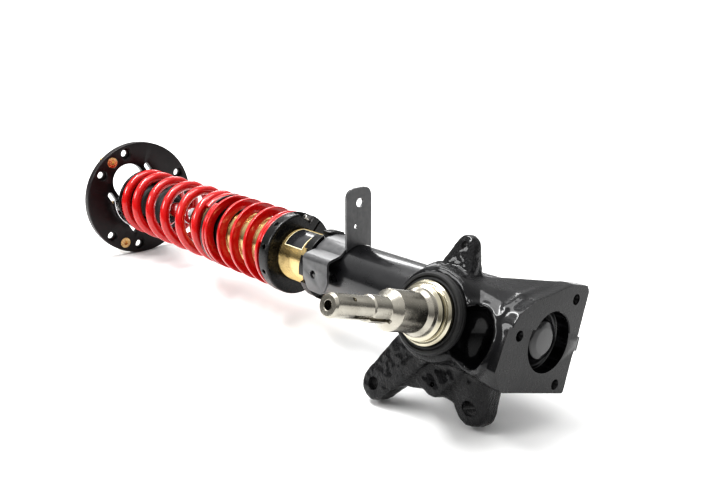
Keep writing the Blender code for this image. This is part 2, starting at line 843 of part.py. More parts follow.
def knuckle():
    """Casting: hub boss, tube collar, web, four ears and the steering arm flange."""
    frame = knuckle_frame()
    back = FLANGE_BACK_X - SPINDLE_X
    front = FLANGE_X - SPINDLE_X
    collar = turned_mesh([(-54, 0), (-54, 37), (-51, 39.5), (back + 2, 39.5), (back + 2, 0)], 24)
    flange = prism_mesh(FLANGE_OUTLINE, back, front)
    axis = spindle_axis()
    boss_points = disc_points(on_spindle(20), axis, HUB_RADIUS + 2, 24)
    boss_points += disc_points(on_spindle(HUB_FACE - 4), axis, HUB_RADIUS, 24)
    boss_points += disc_points(on_spindle(HUB_FACE), axis, HUB_RADIUS - 2.5, 24)
    web_points = disc_points(on_spindle(10), axis, 30, 16) + disc_points(on_spindle(50), axis, 34, 16)
    inset = 0.88
    for p, q in FLANGE_OUTLINE:
        web_points.append((back - 6, p * inset, q * inset))
        web_points.append((back + 4, p, q))
    tab = prism_mesh(FLANGE_TAB, front - 9, front - 1.5)
    parts = [flange, tab, hull_mesh(boss_points), hull_mesh(web_points)]
    for name, ear in EARS.items():
        root = EAR_ROOTS[name]
        parts.append(lug(ear["x"], ear["q"], ear["radius"], ear["near"], ear["far"], *root))
    casting = finish("knuckle", moved(collar, frame), "cast_black")
    join(casting, [moved(part, frame) for part in parts])
    tube = turned_mesh([(-80, 0), (-80, HOUSING_RADIUS + 0.5), (back, HOUSING_RADIUS + 0.5), (back, 0)], 32)
    mouth = turned_mesh([(back - 5, 0), (back - 5, 25.7), (front + 5, 25.7), (front + 5, 0)], 24)
    tools = [tube, mouth]
    tools.append(rod_mesh(on_spindle(20), on_spindle(HUB_FACE + 10), 20.4, 20))
    for ear in EARS.values():
        start = on_spindle(ear["near"] - 12, ear["x"], ear["q"])
        end = on_spindle(ear["far"] + 10, ear["x"], ear["q"])
        tools.append(rod_mesh(start, end, ear["hole"], 10))
    for p, q in FLANGE_HOLES:
        tools.append(rod_mesh((front - 24, p, q), (front + 4, p, q), 4.6, 10))
    step = prism_mesh([(27.5, 9.5), (27.5, -60), (70, -60), (70, 9.5)], front - 3, front + 4)
    tools.append(step)
    pocket = bmesh.new()
    bmesh.ops.create_uvsphere(pocket, u_segments=12, v_segments=8, radius=1.0)
    bmesh.ops.scale(pocket, vec=(17, 22, 24), verts=pocket.verts)
    tools.append(moved(pocket, Matrix.Translation((44, 58, -8))))
    cut(casting, [moved(tool, frame) for tool in tools])


def spindle_mesh(profile, segments):
    """Turn a profile of (reach, radius) about the spindle axis."""
    axis = spindle_axis()
    spin = Vector((1, 0, 0)).rotation_difference(axis).to_matrix().to_4x4()
    return moved(turned_mesh(profile, segments), knuckle_frame() @ spin)


def stub_axle():
    """Machined spindle with a centre bore, a cross hole, a keyway and stepped seats."""
    tip = SPINDLE_TIP
    profile = [
        (HUB_FACE - 26, 0),
        (HUB_FACE - 26, 19.9),
        (HUB_FACE + 0.4, 19.9),
        (HUB_FACE + 0.4, 26.7),
        (HUB_FACE + 10, 26.7),
        (HUB_FACE + 12, 25.4),
        (HUB_FACE + 12, 22.8),
        (HUB_FACE + 17, 22.8),
        (HUB_FACE + 19, 20),
        (HUB_FACE + 23, 19.4),
        (HUB_FACE + 27, 16.5),
        (tip - 67, 16.5),
        (tip - 66, 15.8),
        (tip - 60, 10.6),
        (tip - 42, 10.6),
        (tip - 41, 9.3),
        (tip - 2, 9.3),
        (tip, 7.9),
        (tip, 3.6),
        (tip - 14, 3.6),
        (tip - 16, 0),
    ]
    axle = finish("stub_axle", spindle_mesh(profile, 20), "steel")
    frame = knuckle_frame()
    middle = on_spindle(tip - 20)
    hole = rod_mesh(middle + Vector((0, 0, -20)), middle + Vector((0, 0, 20)), 1.9, 10)
    hole = moved(hole, Matrix.Rotation(math.radians(40), 4, spindle_axis()))
    side = on_spindle(1) - on_spindle(0)
    key = bmesh.new()
    bmesh.ops.create_cube(key, size=1.0)
    bmesh.ops.scale(key, vec=(3.6, 40, 6), verts=key.verts)
    turn = Matrix.Rotation(math.radians(-SPINDLE_RAKE), 4, "Z")
    spin = Matrix.Rotation(math.radians(128), 4, side)
    place = Matrix.Translation(on_spindle(tip - 42)) @ spin @ turn @ Matrix.Translation((0, 0, 10.6))
    cut(axle, [moved(hole, frame), moved(key, frame @ place)])


def hub_seal_ring():
    """Wiping ring on the hub boss, round the stub axle's seat."""
    near = HUB_FACE + 0.4
    profile = [(near, 27.1), (near, 34.0), (near + 5, 34.0), (near + 7, 32.4), (near + 7, 27.1)]
    finish("hub_seal_ring", spindle_mesh(profile, 24), "soft_black")


def place_on_floor():
    """Hang every piece from one empty, whose place centres the strut over the origin."""
    bpy.context.view_layer.update()
    graph = bpy.context.evaluated_depsgraph_get()
    low = Vector((math.inf, math.inf, math.inf))
    high = -low
    pieces = [thing for thing in bpy.data.objects if thing.type == "MESH"]
    for thing in pieces:
        if thing.hide_render:
            continue
        shape = thing.evaluated_get(graph)
        mesh = shape.to_mesh()
        for vertex in mesh.vertices:
            for axis in range(3):
                low[axis] = min(low[axis], vertex.co[axis])
                high[axis] = max(high[axis], vertex.co[axis])
        shape.to_mesh_clear()
    centre = bpy.data.objects.new("strut_axis", None)
    bpy.context.collection.objects.link(centre)
    centre.location = (-(low.x + high.x) / 2, -(low.y + high.y) / 2, -low.z)
    for thing in pieces:
        thing.parent = centre
    print("strut axis at", tuple(round(value, 6) for value in centre.location), "size", tuple(high - low))


def main():
    """Clear the scene and build every piece."""
    for thing in list(bpy.data.objects):
        bpy.data.objects.remove(thing)
    camber_plate()
    plate_screws()
    bearing_carrier()
    carrier_bolts()
    spherical_bearing()
    spring_seats()
    main_spring()
    tender_spring()
    spring_perch()
    damper()
    lock_ring()
    strut_housing()
    hose_bracket()
    knuckle()
    stub_axle()
    hub_seal_ring()
    place_on_floor()


main()
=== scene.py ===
"""Looks of a front strut coilover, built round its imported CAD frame.

Every piece is made in the strut's own millimetre frame: X runs along the strut from the camber
plate's underside at 0 towards the steering arm flange, and angles are taken from +Z towards -Y.
One matrix then bakes it into the part's frame, so a finished object sits at the origin.
"""

from __future__ import annotations

import json
import logging
import math
from dataclasses import dataclass
from enum import Enum
from typing import Callable, Iterable, Sequence

import bmesh
import bpy
from mathutils import Matrix, Vector, noise

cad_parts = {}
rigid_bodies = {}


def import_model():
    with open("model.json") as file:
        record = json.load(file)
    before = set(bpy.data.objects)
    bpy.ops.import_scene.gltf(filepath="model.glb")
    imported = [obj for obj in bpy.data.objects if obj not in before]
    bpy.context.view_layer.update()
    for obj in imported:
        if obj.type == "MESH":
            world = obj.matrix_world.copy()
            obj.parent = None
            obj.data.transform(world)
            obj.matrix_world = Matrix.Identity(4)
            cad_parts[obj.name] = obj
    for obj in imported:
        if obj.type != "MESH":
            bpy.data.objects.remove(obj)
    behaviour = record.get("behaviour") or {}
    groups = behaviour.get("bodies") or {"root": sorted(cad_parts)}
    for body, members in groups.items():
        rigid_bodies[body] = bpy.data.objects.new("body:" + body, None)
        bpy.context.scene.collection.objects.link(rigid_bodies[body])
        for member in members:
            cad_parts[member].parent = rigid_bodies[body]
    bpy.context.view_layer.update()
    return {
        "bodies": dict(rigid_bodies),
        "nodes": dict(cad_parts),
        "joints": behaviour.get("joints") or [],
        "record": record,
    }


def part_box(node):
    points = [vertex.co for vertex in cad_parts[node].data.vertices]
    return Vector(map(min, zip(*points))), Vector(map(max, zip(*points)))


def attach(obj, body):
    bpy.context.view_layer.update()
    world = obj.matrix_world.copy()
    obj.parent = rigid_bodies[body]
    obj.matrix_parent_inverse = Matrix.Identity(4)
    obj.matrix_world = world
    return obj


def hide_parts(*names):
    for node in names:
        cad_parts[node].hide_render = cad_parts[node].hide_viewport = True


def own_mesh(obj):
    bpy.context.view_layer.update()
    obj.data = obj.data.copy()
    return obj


LOG = logging.getLogger("coilover")
MM = 0.001
SMOOTH_ANGLE = 35.0

Point2 = tuple[float, float]
Point3 = tuple[float, float, float]
Colour = tuple[float, float, float]
Node = bpy.types.Node
Socket = bpy.types.NodeSocket
Tree = bpy.types.NodeTree
Material = bpy.types.Material
Piece = bpy.types.Object
BMesh = bmesh.types.BMesh
BMVert = bmesh.types.BMVert

# Stations along the strut and radii, in millimetres.
PLATE_THICKNESS = 10.0
PLATE_RADIUS = 76.2
BALL_X = -2.0
SEAT_X = 14.0
MAIN_X = 18.4
COUPLER_X = 220.0
COUPLER_FLANGE = 2.6
PERCH_X = 338.4
PERCH_WIDTH = 14.0
BODY_TOP = 172.0
BODY_BOTTOM = 516.0
BODY_RADIUS = 28.0
RING_X = 397.0
RING_WIDTH = 11.0
HOUSING_X = 408.6
HOUSING_END = 663.0
HOUSING_RADIUS = 30.8
FLANGE_BACK = 664.0
FLANGE_FRONT = 678.0
SPINDLE_X = 601.0
HUB_FACE = 66.0
SPINDLE_TIP = 189.0
SPINDLE_RAKE = 4.3
KNUCKLE_ROLL = 18.5
SLIDE_ANGLE = 31.0
SPRING_OUTER = 43.0


# ---------------------------------------------------------------------------------------------
# Frames and points


def polar(angle: float, radius: float) -> Point2:
    """Find y and z at an angle round the strut.

    Args:
        angle: degrees from +Z towards -Y.
        radius: distance from the strut axis.

    Returns:
        The y and z of the point.
    """
    turn = math.radians(angle)
    return -radius * math.sin(turn), radius * math.cos(turn)


def on_slide(along: float, across: float) -> Point2:
    """Find y and z of a point given along and across the camber slide.

    Args:
        along: distance along the slide.
        across: distance across it.

    Returns:
        The y and z of the point.
    """
    run, cross = polar(SLIDE_ANGLE, 1.0), polar(SLIDE_ANGLE - 90.0, 1.0)
    return along * run[0] + across * cross[0], along * run[1] + across * cross[1]


def knuckle_frame() -> Matrix:
    """Return the matrix from the knuckle's X, outward and across axes to the strut's."""
    roll = math.radians(KNUCKLE_ROLL)
    outward = Vector((0, -math.cos(roll), math.sin(roll)))
    across = Vector((0, math.sin(roll), math.cos(roll)))
    frame = Matrix.Identity(4)
    for row in range(3):
        frame[row][1] = outward[row]
        frame[row][2] = across[row]
    frame[0][3] = SPINDLE_X
    return frame


def spindle_axis() -> Vector:
    """Return the spindle's direction in the knuckle's own axes."""
    rake = math.radians(SPINDLE_RAKE)
    return Vector((math.sin(rake), math.cos(rake), 0))


def on_spindle(reach: float, x: float = 0.0, q: float = 0.0) -> Vector:
    """Find a point of the knuckle by its reach along the spindle.

    Args:
        reach: distance from the strut axis along the spindle.
        x: offset along the strut, in the plane across the spindle.
        q: offset across the strut.

    Returns:
        The point in the knuckle's own axes.
    """
    rake = math.radians(SPINDLE_RAKE)
    side = Vector((math.cos(rake), -math.sin(rake), 0))
    return spindle_axis() * reach + side * x + Vector((0, 0, q))


def spindle_matrix() -> Matrix:
    """Return the matrix that lays a piece turned about X on the spindle."""
    spin = Vector((1, 0, 0)).rotation_difference(spindle_axis()).to_matrix().to_4x4()
    return knuckle_frame() @ spin


@dataclass(frozen=True)
class StrutAxis:
    """Where the strut's own frame stands in the part's frame, in metres."""

    x: float
    y: float
    z: float

    @classmethod
    def from_plate(cls) -> "StrutAxis":
        """Read the axis from the camber plate's box."""
        low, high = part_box("camber_plate")
        return cls(high.x, (low.y + high.y) / 2, (low.z + high.z) / 2)

    def matrix(self) -> Matrix:
        """Return the matrix from strut millimetres to the part's metres."""
        return Matrix.Translation((self.x, self.y, self.z)) @ Matrix.Scale(MM, 4)

    def place(self, x: float, y: float, z: float) -> Vector:
        """Return a strut point in the part's frame."""
        return self.matrix() @ Vector((x, y, z))


# ---------------------------------------------------------------------------------------------
# Nodes


class Wiring:
    """Adds nodes to a tree and joins them."""

    def __init__(self, tree: Tree) -> None:
        """Keep the tree."""
        self.tree = tree

    def add(self, kind: str, **settings: object) -> Node:
        """Add a node and set its properties.

        Args:
            kind: the node's type.
            settings: properties and their values.

        Returns:
            The node.
        """
        node = self.tree.nodes.new(kind)
        for key, value in settings.items():
            setattr(node, key, value)
        return node

    def link(self, source: Socket, target: Socket) -> None:
        """Link two sockets."""
        self.tree.links.new(source, target)

    def feed(self, socket: Socket, value: object) -> None:
        """Give a socket a value or a link.

        Args:
            socket: the input.
            value: a number, a vector or an output to link.
        """
        if isinstance(value, Socket):
            self.tree.links.new(value, socket)
        else:
            socket.default_value = value

    def math(self, operation: str, *values: object) -> Socket:
        """Add a Math node and return its result.

        Args:
            operation: the node's operation.
            values: its inputs in order.

        Returns:
            The result.
        """
        node = self.add("ShaderNodeMath", operation=operation)
        for socket, value in zip(node.inputs, values):
            self.feed(socket, value)
        return node.outputs[0]

    def remap(
        self, value: object, span: tuple[object, object], to: tuple[object, object],
    ) -> Socket:
        """Map a value from one span to another and hold it at the ends.

        Args:
            value: the value.
            span: the span that it comes from.
            to: the span that it goes to.

        Returns:
            The mapped value.
        """
        node = self.add("ShaderNodeMapRange", clamp=True)
        for name, item in zip(
            ("Value", "From Min", "From Max", "To Min", "To Max"), (value, *span, *to),
        ):
            self.feed(node.inputs[name], item)
        return node.outputs["Result"]


# ---------------------------------------------------------------------------------------------
# Finishes


class Marks(Enum):
    """Machining marks that a finish may carry."""

    NONE = "none"
    TURNED = "turned"
    GROUND = "ground"


@dataclass(frozen=True)
class Finish:
    """One finish and the numbers of its procedural material.

    Grain and tone sizes are in millimetres. The axis is the direction that turning marks step
    along, in the part's frame.
    """

    name: str
    slot: str
    colour: Colour
    tone: Colour
    roughness: float
    spread: float = 0.06
    metallic: float = 0.0
    coat: float = 0.0
    coat_roughness: float = 0.06
    specular: float = 0.5
    tone_size: float = 18.0
    grain_size: float = 1.2
    grain_depth: float = 0.01
    marks: Marks = Marks.NONE
    mark_size: float = 0.7
    mark_depth: float = 0.02
    axis: Point3 = (1.0, 0.0, 0.0)
    # Sharp-edge lightening and its colour: partly wear, partly a painted highlight on the edges.
    edge_wear_and_highlight: float = 0.0
    edge_wear_and_highlight_colour: Colour = (0.3, 0.3, 0.3)
    grain_attribute: str = ""

    def build(self) -> Material:
        """Build the material.

        Returns:
            The finished material, made once and then reused.
        """
        made = bpy.data.materials.get(self.name)
        if made:
            return made
        made = bpy.data.materials.new(self.name)
        made.use_nodes = True
        made.diffuse_color = (*self.colour, 1)
        return MaterialNodes(made, self).dress()


class MaterialNodes(Wiring):
    """Wires one finish's nodes."""

    def __init__(self, material: Material, finish: Finish) -> None:
        """Keep the tree and find its shader.

        Args:
            material: the material, with nodes on.
            finish: its numbers.
        """
        super().__init__(material.node_tree)
        self.material = material
        self.finish = finish
        self.shader = self.tree.nodes["Principled BSDF"]
        self.coords = self.tree.nodes.new("ShaderNodeTexCoord").outputs["Object"]

    def noise(self, size: float, detail: float, rough: float = 0.5) -> Socket:
        """Add a noise of one feature size in millimetres.

        Args:
            size: feature size.
            detail: octaves of finer noise.
            rough: share that each octave keeps.

        Returns:
            The noise factor.
        """
        node = self.add("ShaderNodeTexNoise")
        node.inputs["Scale"].default_value = 1.0 / (size * MM)
        node.inputs["Detail"].default_value = detail
        node.inputs["Roughness"].default_value = rough
        self.link(self.coords, node.inputs["Vector"])
        return node.outputs["Fac"]

    def ramp(self, source: Socket, low: Colour, high: Colour) -> Socket:
        """Turn a factor into a colour between two tones.

        Args:
            source: the factor.
            low: colour at its low end.
            high: colour at its high end.

        Returns:
            The colour.
        """
        node = self.add("ShaderNodeValToRGB")
        node.color_ramp.elements[0].position = 0.36
        node.color_ramp.elements[0].color = (*low, 1)
        node.color_ramp.elements[1].position = 0.66
        node.color_ramp.elements[1].color = (*high, 1)
        self.link(source, node.inputs["Fac"])
        return node.outputs["Color"]

    def spread(self, source: Socket, low: float, high: float) -> Socket:
        """Map a factor's usual range onto two values.

        Args:
            source: the factor.
            low: value at its low end.
            high: value at its high end.

        Returns:
            The value.
        """
        return self.remap(source, (0.3, 0.7), (low, high))

    def bump(
        self,
        height: Socket,
        depth: float,
        before: Socket | None,
    ) -> Socket:
        """Add a bump of a depth in millimetres on top of an earlier normal.

        Args:
            height: the height factor.
            depth: how deep a factor of 1 is.
            before: normal of the bump under it, if any.

        Returns:
            The new normal.
        """
        node = self.add("ShaderNodeBump")
        node.inputs["Strength"].default_value = 1.0
        node.inputs["Distance"].default_value = depth * MM
        self.link(height, node.inputs["Height"])
        if before is not None:
            self.link(before, node.inputs["Normal"])
        return node.outputs["Normal"]

    def rings(self) -> Socket:
        """Add turning marks: noise that changes only along the finish's axis.

        Returns:
            The height factor.
        """
        dot = self.add("ShaderNodeVectorMath", operation="DOT_PRODUCT")
        dot.inputs[1].default_value = self.finish.axis
        self.link(self.coords, dot.inputs[0])
        lines = self.add("ShaderNodeTexNoise", noise_dimensions="1D")
        lines.inputs["Scale"].default_value = 1.0 / (self.finish.mark_size * MM)
        lines.inputs["Detail"].default_value = 3.0
        self.link(dot.outputs["Value"], lines.inputs["W"])
        return lines.outputs["Fac"]

    def scratches(self) -> Socket:
        """Add ground marks: noise drawn out across the finish's axis.

        Returns:
            The height factor.
        """
        mapping = self.add("ShaderNodeMapping")
        mapping.inputs["Rotation"].default_value = (math.radians(KNUCKLE_ROLL), 0, 0)
        mapping.inputs["Scale"].default_value = (1.0, 0.06, 1.0)
        self.link(self.coords, mapping.inputs["Vector"])
        lines = self.add("ShaderNodeTexNoise")
        lines.inputs["Scale"].default_value = 1.0 / (self.finish.mark_size * MM)
        lines.inputs["Detail"].default_value = 2.0
        self.link(mapping.outputs["Vector"], lines.inputs["Vector"])
        return lines.outputs["Fac"]

    def worn_and_highlit_edges(self, colour: Socket) -> Socket:
        """Lighten sharp edges, more where the noise is high: partly edge wear, partly a painted
        edge highlight.

        Args:
            colour: the colour away from the edges.

        Returns:
            The colour with lightened edges, part wear and part painted highlight.
        """
        geometry = self.add("ShaderNodeNewGeometry")
        edge = self.remap(geometry.outputs["Pointiness"], (0.52, 0.6), (0.0, self.finish.edge_wear_and_highlight))
        patch = self.math("MULTIPLY", edge, self.spread(self.noise(6.0, 3.0), 0.0, 1.0))
        mix = self.add("ShaderNodeMix", data_type="RGBA")
        self.link(patch, mix.inputs["Factor"])
        self.link(colour, mix.inputs["A"])
        mix.inputs["B"].default_value = (*self.finish.edge_wear_and_highlight_colour, 1)
        return mix.outputs["Result"]

    def dress(self) -> Material:
        """Wire colour, roughness and bump to the shader.

        Returns:
            The material.
        """
        finish, sockets = self.finish, self.shader.inputs
        colour = self.ramp(self.noise(finish.tone_size, 4.0), finish.colour, finish.tone)
        # Lighter sharp edges: partly wear, partly a painted highlight.
        if finish.edge_wear_and_highlight > 0:
            colour = self.worn_and_highlit_edges(colour)
        self.link(colour, sockets["Base Color"])
        rough = self.spread(
            self.noise(finish.tone_size / 3, 5.0, 0.6),
            max(0.02, finish.roughness - finish.spread),
            finish.roughness + finish.spread,
        )
        self.link(rough, sockets["Roughness"])
        grain = self.noise(finish.grain_size, 4.0, 0.55)
        if finish.grain_attribute:
            share = self.add("ShaderNodeAttribute", attribute_name=finish.grain_attribute)
            grain = self.math("MULTIPLY", grain, share.outputs["Fac"])
        normal = self.bump(grain, finish.grain_depth, None)
        if finish.marks is Marks.TURNED:
            normal = self.bump(self.rings(), finish.mark_depth, normal)
        elif finish.marks is Marks.GROUND:
            normal = self.bump(self.scratches(), finish.mark_depth, normal)
        self.link(normal, sockets["Normal"])
        sockets["Metallic"].default_value = finish.metallic
        sockets["Specular IOR Level"].default_value = finish.specular
        sockets["Coat Weight"].default_value = finish.coat
        sockets["Coat Roughness"].default_value = finish.coat_roughness
        return self.material


SPINDLE_DIRECTION = tuple((knuckle_frame().to_3x3() @ spindle_axis()).normalized())


@dataclass(frozen=True)
class Finishes:
    """Every finish of the strut."""

    plate: Finish = Finish(
        "black_anodised_plate", "black_anodised", (0.009, 0.0065, 0.0068), (0.015, 0.010, 0.011),
        0.36,
        specular=0.35, coat=0.18, coat_roughness=0.25, grain_size=0.5, grain_depth=0.012,
        # Lighter sharp edges: partly wear, partly a painted highlight.
        edge_wear_and_highlight=0.5, edge_wear_and_highlight_colour=(0.12, 0.11, 0.11),
    )
    collar: Finish = Finish(
        "black_anodised_collar", "black_anodised", (0.004, 0.004, 0.004), (0.007, 0.007, 0.007),
        0.27,
        specular=0.35, coat=0.25, coat_roughness=0.18, grain_size=0.5, grain_depth=0.008,
        # Lighter sharp edges: partly wear, partly a painted highlight.
        marks=Marks.TURNED, mark_size=0.5, mark_depth=0.006, edge_wear_and_highlight=0.4,
        edge_wear_and_highlight_colour=(0.14, 0.13, 0.13),
    )
    zinc: Finish = Finish(
        "yellow_zinc_body", "yellow_zinc", (0.68, 0.53, 0.27), (0.72, 0.58, 0.32), 0.2,
        spread=0.03, metallic=1.0, tone_size=20.0, grain_size=0.8, grain_depth=0.002,
        marks=Marks.TURNED, mark_size=0.6, mark_depth=0.004,
    )
    zinc_bolt: Finish = Finish(
        "yellow_zinc_fastener", "yellow_zinc", (0.56, 0.38, 0.19), (0.70, 0.52, 0.28), 0.28,
        metallic=1.0, tone_size=4.0, grain_size=0.5, grain_depth=0.008,
    )
    carrier: Finish = Finish(
        "bright_aluminium_carrier", "bright_aluminium", (0.66, 0.67, 0.69), (0.74, 0.75, 0.76),
        0.26,
        metallic=1.0, marks=Marks.TURNED, mark_size=0.5, mark_depth=0.012, grain_size=0.8,
    )
    aluminium: Finish = Finish(
        "turned_aluminium", "aluminium", (0.60, 0.61, 0.62), (0.68, 0.68, 0.69), 0.3,
        metallic=1.0, marks=Marks.TURNED, mark_size=0.6, mark_depth=0.012,
    )
    steel: Finish = Finish(
        "plain_steel", "steel", (0.46, 0.45, 0.43), (0.54, 0.53, 0.51), 0.3,
        metallic=1.0, marks=Marks.TURNED, mark_size=0.5, mark_depth=0.01,
    )
    axle: Finish = Finish(
        "machined_steel_axle", "machined_steel", (0.39, 0.37, 0.325), (0.46, 0.44, 0.39), 0.25,
        spread=0.04, metallic=1.0, tone_size=16.0, grain_depth=0.003, marks=Marks.TURNED,
        mark_size=1.1, mark_depth=0.010, axis=SPINDLE_DIRECTION,
    )
    axle_seat: Finish = Finish(
        "machined_steel_seat", "machined_steel", (0.45, 0.42, 0.33), (0.52, 0.49, 0.40), 0.2,
        spread=0.03, metallic=1.0, tone_size=14.0, grain_depth=0.003, marks=Marks.TURNED,
        mark_size=0.8, mark_depth=0.008, axis=SPINDLE_DIRECTION,
    )
    chrome: Finish = Finish(
        "hard_chrome", "chrome", (0.72, 0.73, 0.75), (0.76, 0.77, 0.79), 0.06,
        spread=0.02, metallic=1.0, grain_size=2.0, grain_depth=0.001,
    )
    red: Finish = Finish(
        "red_powder_gloss", "red_powder_coat", (0.40, 0.004, 0.004), (0.46, 0.006, 0.006), 0.26,
        specular=0.3, coat=1.0, coat_roughness=0.03, tone_size=30.0, grain_size=2.6,
        grain_depth=0.03,
        # Brighter red on sharp edges is a painted highlight.
        edge_wear_and_highlight=0.35, edge_wear_and_highlight_colour=(0.75, 0.05, 0.05),
    )
    tube: Finish = Finish(
        "satin_black_tube", "satin_black", (0.005, 0.005, 0.006), (0.008, 0.008, 0.009), 0.3,
        spread=0.05, specular=0.4, coat=0.85, coat_roughness=0.11, tone_size=40.0, grain_size=1.6,
        grain_depth=0.012,
    )
    bracket: Finish = Finish(
        "satin_black_bracket", "bracket_black", (0.038, 0.038, 0.040), (0.050, 0.050, 0.053), 0.36,
        specular=0.6, coat=0.6, coat_roughness=0.24, grain_size=0.8, grain_depth=0.012,
        # Lighter sharp edges: partly wear, partly a painted highlight.
        edge_wear_and_highlight=0.5, edge_wear_and_highlight_colour=(0.10, 0.10, 0.10),
    )
    casting: Finish = Finish(
        "gloss_black_casting", "cast_black", (0.003, 0.003, 0.0035), (0.006, 0.006, 0.007), 0.3,
        specular=0.15, coat=0.55, coat_roughness=0.06, tone_size=24.0, grain_size=2.3,
        grain_depth=3.3,
        # Lighter sharp edges: partly wear, partly a painted highlight.
        grain_attribute="cast_grain", edge_wear_and_highlight=0.5, edge_wear_and_highlight_colour=(0.06, 0.06, 0.065),
    )
    machined_black: Finish = Finish(
        "machined_black_face", "cast_black", (0.028, 0.026, 0.024), (0.040, 0.037, 0.034), 0.42,
        metallic=0.25, tone_size=22.0, grain_size=0.7, grain_depth=0.01,
        marks=Marks.GROUND, mark_size=0.5, mark_depth=0.02,
    )
    moulded: Finish = Finish(
        "black_moulding", "black_plastic", (0.012, 0.012, 0.012), (0.020, 0.020, 0.020), 0.32,
        coat=0.2, coat_roughness=0.2, grain_size=0.9, grain_depth=0.01,
    )
    rubber: Finish = Finish(
        "black_rubber", "soft_black", (0.014, 0.014, 0.014), (0.024, 0.024, 0.024), 0.55,
        specular=0.4, tone_size=10.0, grain_size=0.8, grain_depth=0.03,
    )
    liner: Finish = Finish(
        "pale_bearing_liner", "pale_plastic", (0.70, 0.69, 0.63), (0.76, 0.75, 0.70), 0.5,
        grain_size=0.8, grain_depth=0.01,
    )
    label: Finish = Finish(
        "plain_label_film", "soft_black", (0.018, 0.018, 0.020), (0.024, 0.024, 0.026), 0.22,
        coat=0.6, coat_roughness=0.1, tone_size=8.0, grain_size=1.0, grain_depth=0.004,
    )
    label_edge: Finish = Finish(
        "plain_label_border", "pale_plastic", (0.72, 0.66, 0.46), (0.76, 0.71, 0.52), 0.3,
        coat=0.6, coat_roughness=0.1, tone_size=8.0, grain_size=1.0, grain_depth=0.004,
    )
    floor: Finish = Finish(
        "pale_studio_floor", "pale_plastic", (0.90, 0.90, 0.895), (0.915, 0.915, 0.91), 0.32,
        specular=0.35, tone_size=400.0, grain_size=40.0, grain_depth=0.0,
    )

    def by_slot(self) -> dict[str, Finish]:
        """Return the finish that dresses a CAD node of each material slot."""
        return {
            "black_anodised": self.collar, "yellow_zinc": self.zinc, "chrome": self.chrome,
            "bright_aluminium": self.carrier, "aluminium": self.aluminium, "steel": self.steel,
            "machined_steel": self.axle, "red_powder_coat": self.red, "satin_black": self.tube,
            "bracket_black": self.bracket, "cast_black": self.casting, "soft_black": self.rubber,
            "black_plastic": self.moulded, "pale_plastic": self.liner,
        }


# ---------------------------------------------------------------------------------------------
# Mesh work


def soften(
    points: Sequence[Sequence[float]], radius: float, closed: bool, steps: int = 4,
) -> list[Point2]:
    """Round the corners of an outline.

    Args:
        points: corners, each with an optional third number that is its own radius.
        radius: radius of the corners that have none of their own.
        closed: whether the last point joins the first.
        steps: straight pieces per rounded corner.

    Returns:
        The rounded outline.
    """
    made: list[Point2] = []
    count = len(points)
    for i, corner in enumerate(points):
        here = Vector(corner[:2])
        if not closed and i in (0, count - 1):
            made.append((here.x, here.y))
            continue
        before = Vector(points[i - 1][:2]) - here
        after = Vector(points[(i + 1) % count][:2]) - here
        half = before.angle(after) / 2
        if half > math.radians(88):
            made.append((here.x, here.y))
            continue
        wanted = corner[2] if len(corner) > 2 else radius
        reach = min(wanted / math.tan(half), 0.45 * before.length, 0.45 * after.length)
        if reach < 0.02:
            made.append((here.x, here.y))
            continue
        start, end = here + before.normalized() * reach, here + after.normalized() * reach
        for step in range(steps + 1):
            s = step / steps
            spot = start * (1 - s) ** 2 + here * (2 * s * (1 - s)) + end * s * s
            made.append((spot.x, spot.y))
    return made


def join_rings(bm: BMesh, rings: list[list[BMVert]], closed: bool) -> None:
    """Put faces between rings of vertices; a ring of one vertex is a pole.

    Args:
        bm: the mesh that holds the rings.
        rings: rings of vertices in order.
        closed: whether the last ring joins the first.
    """
    pairs = list(zip(rings, rings[1:]))
    if closed:
        pairs.append((rings[-1], rings[0]))
    for first, second in pairs:
        count = max(len(first), len(second))
        for i in range(count):
            j = (i + 1) % count
            if len(first) == 1:
                bm.faces.new((first[0], second[i], second[j]))
            elif len(second) == 1:
                bm.faces.new((first[i], second[0], first[j]))
            else:
                bm.faces.new((first[i], second[i], second[j], first[j]))


def lathe(profile: Sequence[Point2], segments: int) -> BMesh:
    """Turn a profile of (x, radius) about X; one that starts and ends on the axis is solid.

    Args:
        profile: points of the section.
        segments: sides round the axis.

    Returns:
        The turned mesh.
    """
    bm = bmesh.new()
    rings = []
    for x, radius in profile:
        if radius < 1e-6:
            rings.append([bm.verts.new((x, 0, 0))])
            continue
        rings.append(
            [bm.verts.new((x, *polar(360.0 * i / segments, radius))) for i in range(segments)]
        )
    join_rings(bm, rings, closed=profile[0][1] > 1e-6)
    return bm


def turned(profile: Sequence[Sequence[float]], radius: float = 0.5, segments: int = 96) -> BMesh:
    """Turn a profile with its corners rounded."""
    return lathe(soften(profile, radius, closed=profile[0][1] > 1e-6), segments)


def prism(outline: Sequence[Point2], start: float, end: float) -> BMesh:
    """Extrude an outline of (y, z) along X.

    Args:
        outline: corners in order.
        start: station of the near end.
        end: station of the far end.

    Returns:
        The closed prism.
    """
    bm = bmesh.new()
    near = [bm.verts.new((start, y, z)) for y, z in outline]
    far = [bm.verts.new((end, y, z)) for y, z in outline]
    bm.faces.new(near)
    bm.faces.new(list(reversed(far)))
    for i in range(len(outline)):
        j = (i + 1) % len(outline)
        bm.faces.new((near[i], far[i], far[j], near[j]))
    return bm


def hull(points: Iterable[Sequence[float]]) -> BMesh:
    """Make the convex hull of some points.

    Args:
        points: the points.

    Returns:
        The hull, without the points inside it.
    """
    bm = bmesh.new()
    made = bmesh.ops.convex_hull(bm, input=[bm.verts.new(point) for point in points])
    spare = [item for item in made["geom_interior"] if isinstance(item, BMVert)]
    bmesh.ops.delete(bm, geom=spare, context="VERTS")
    return bm


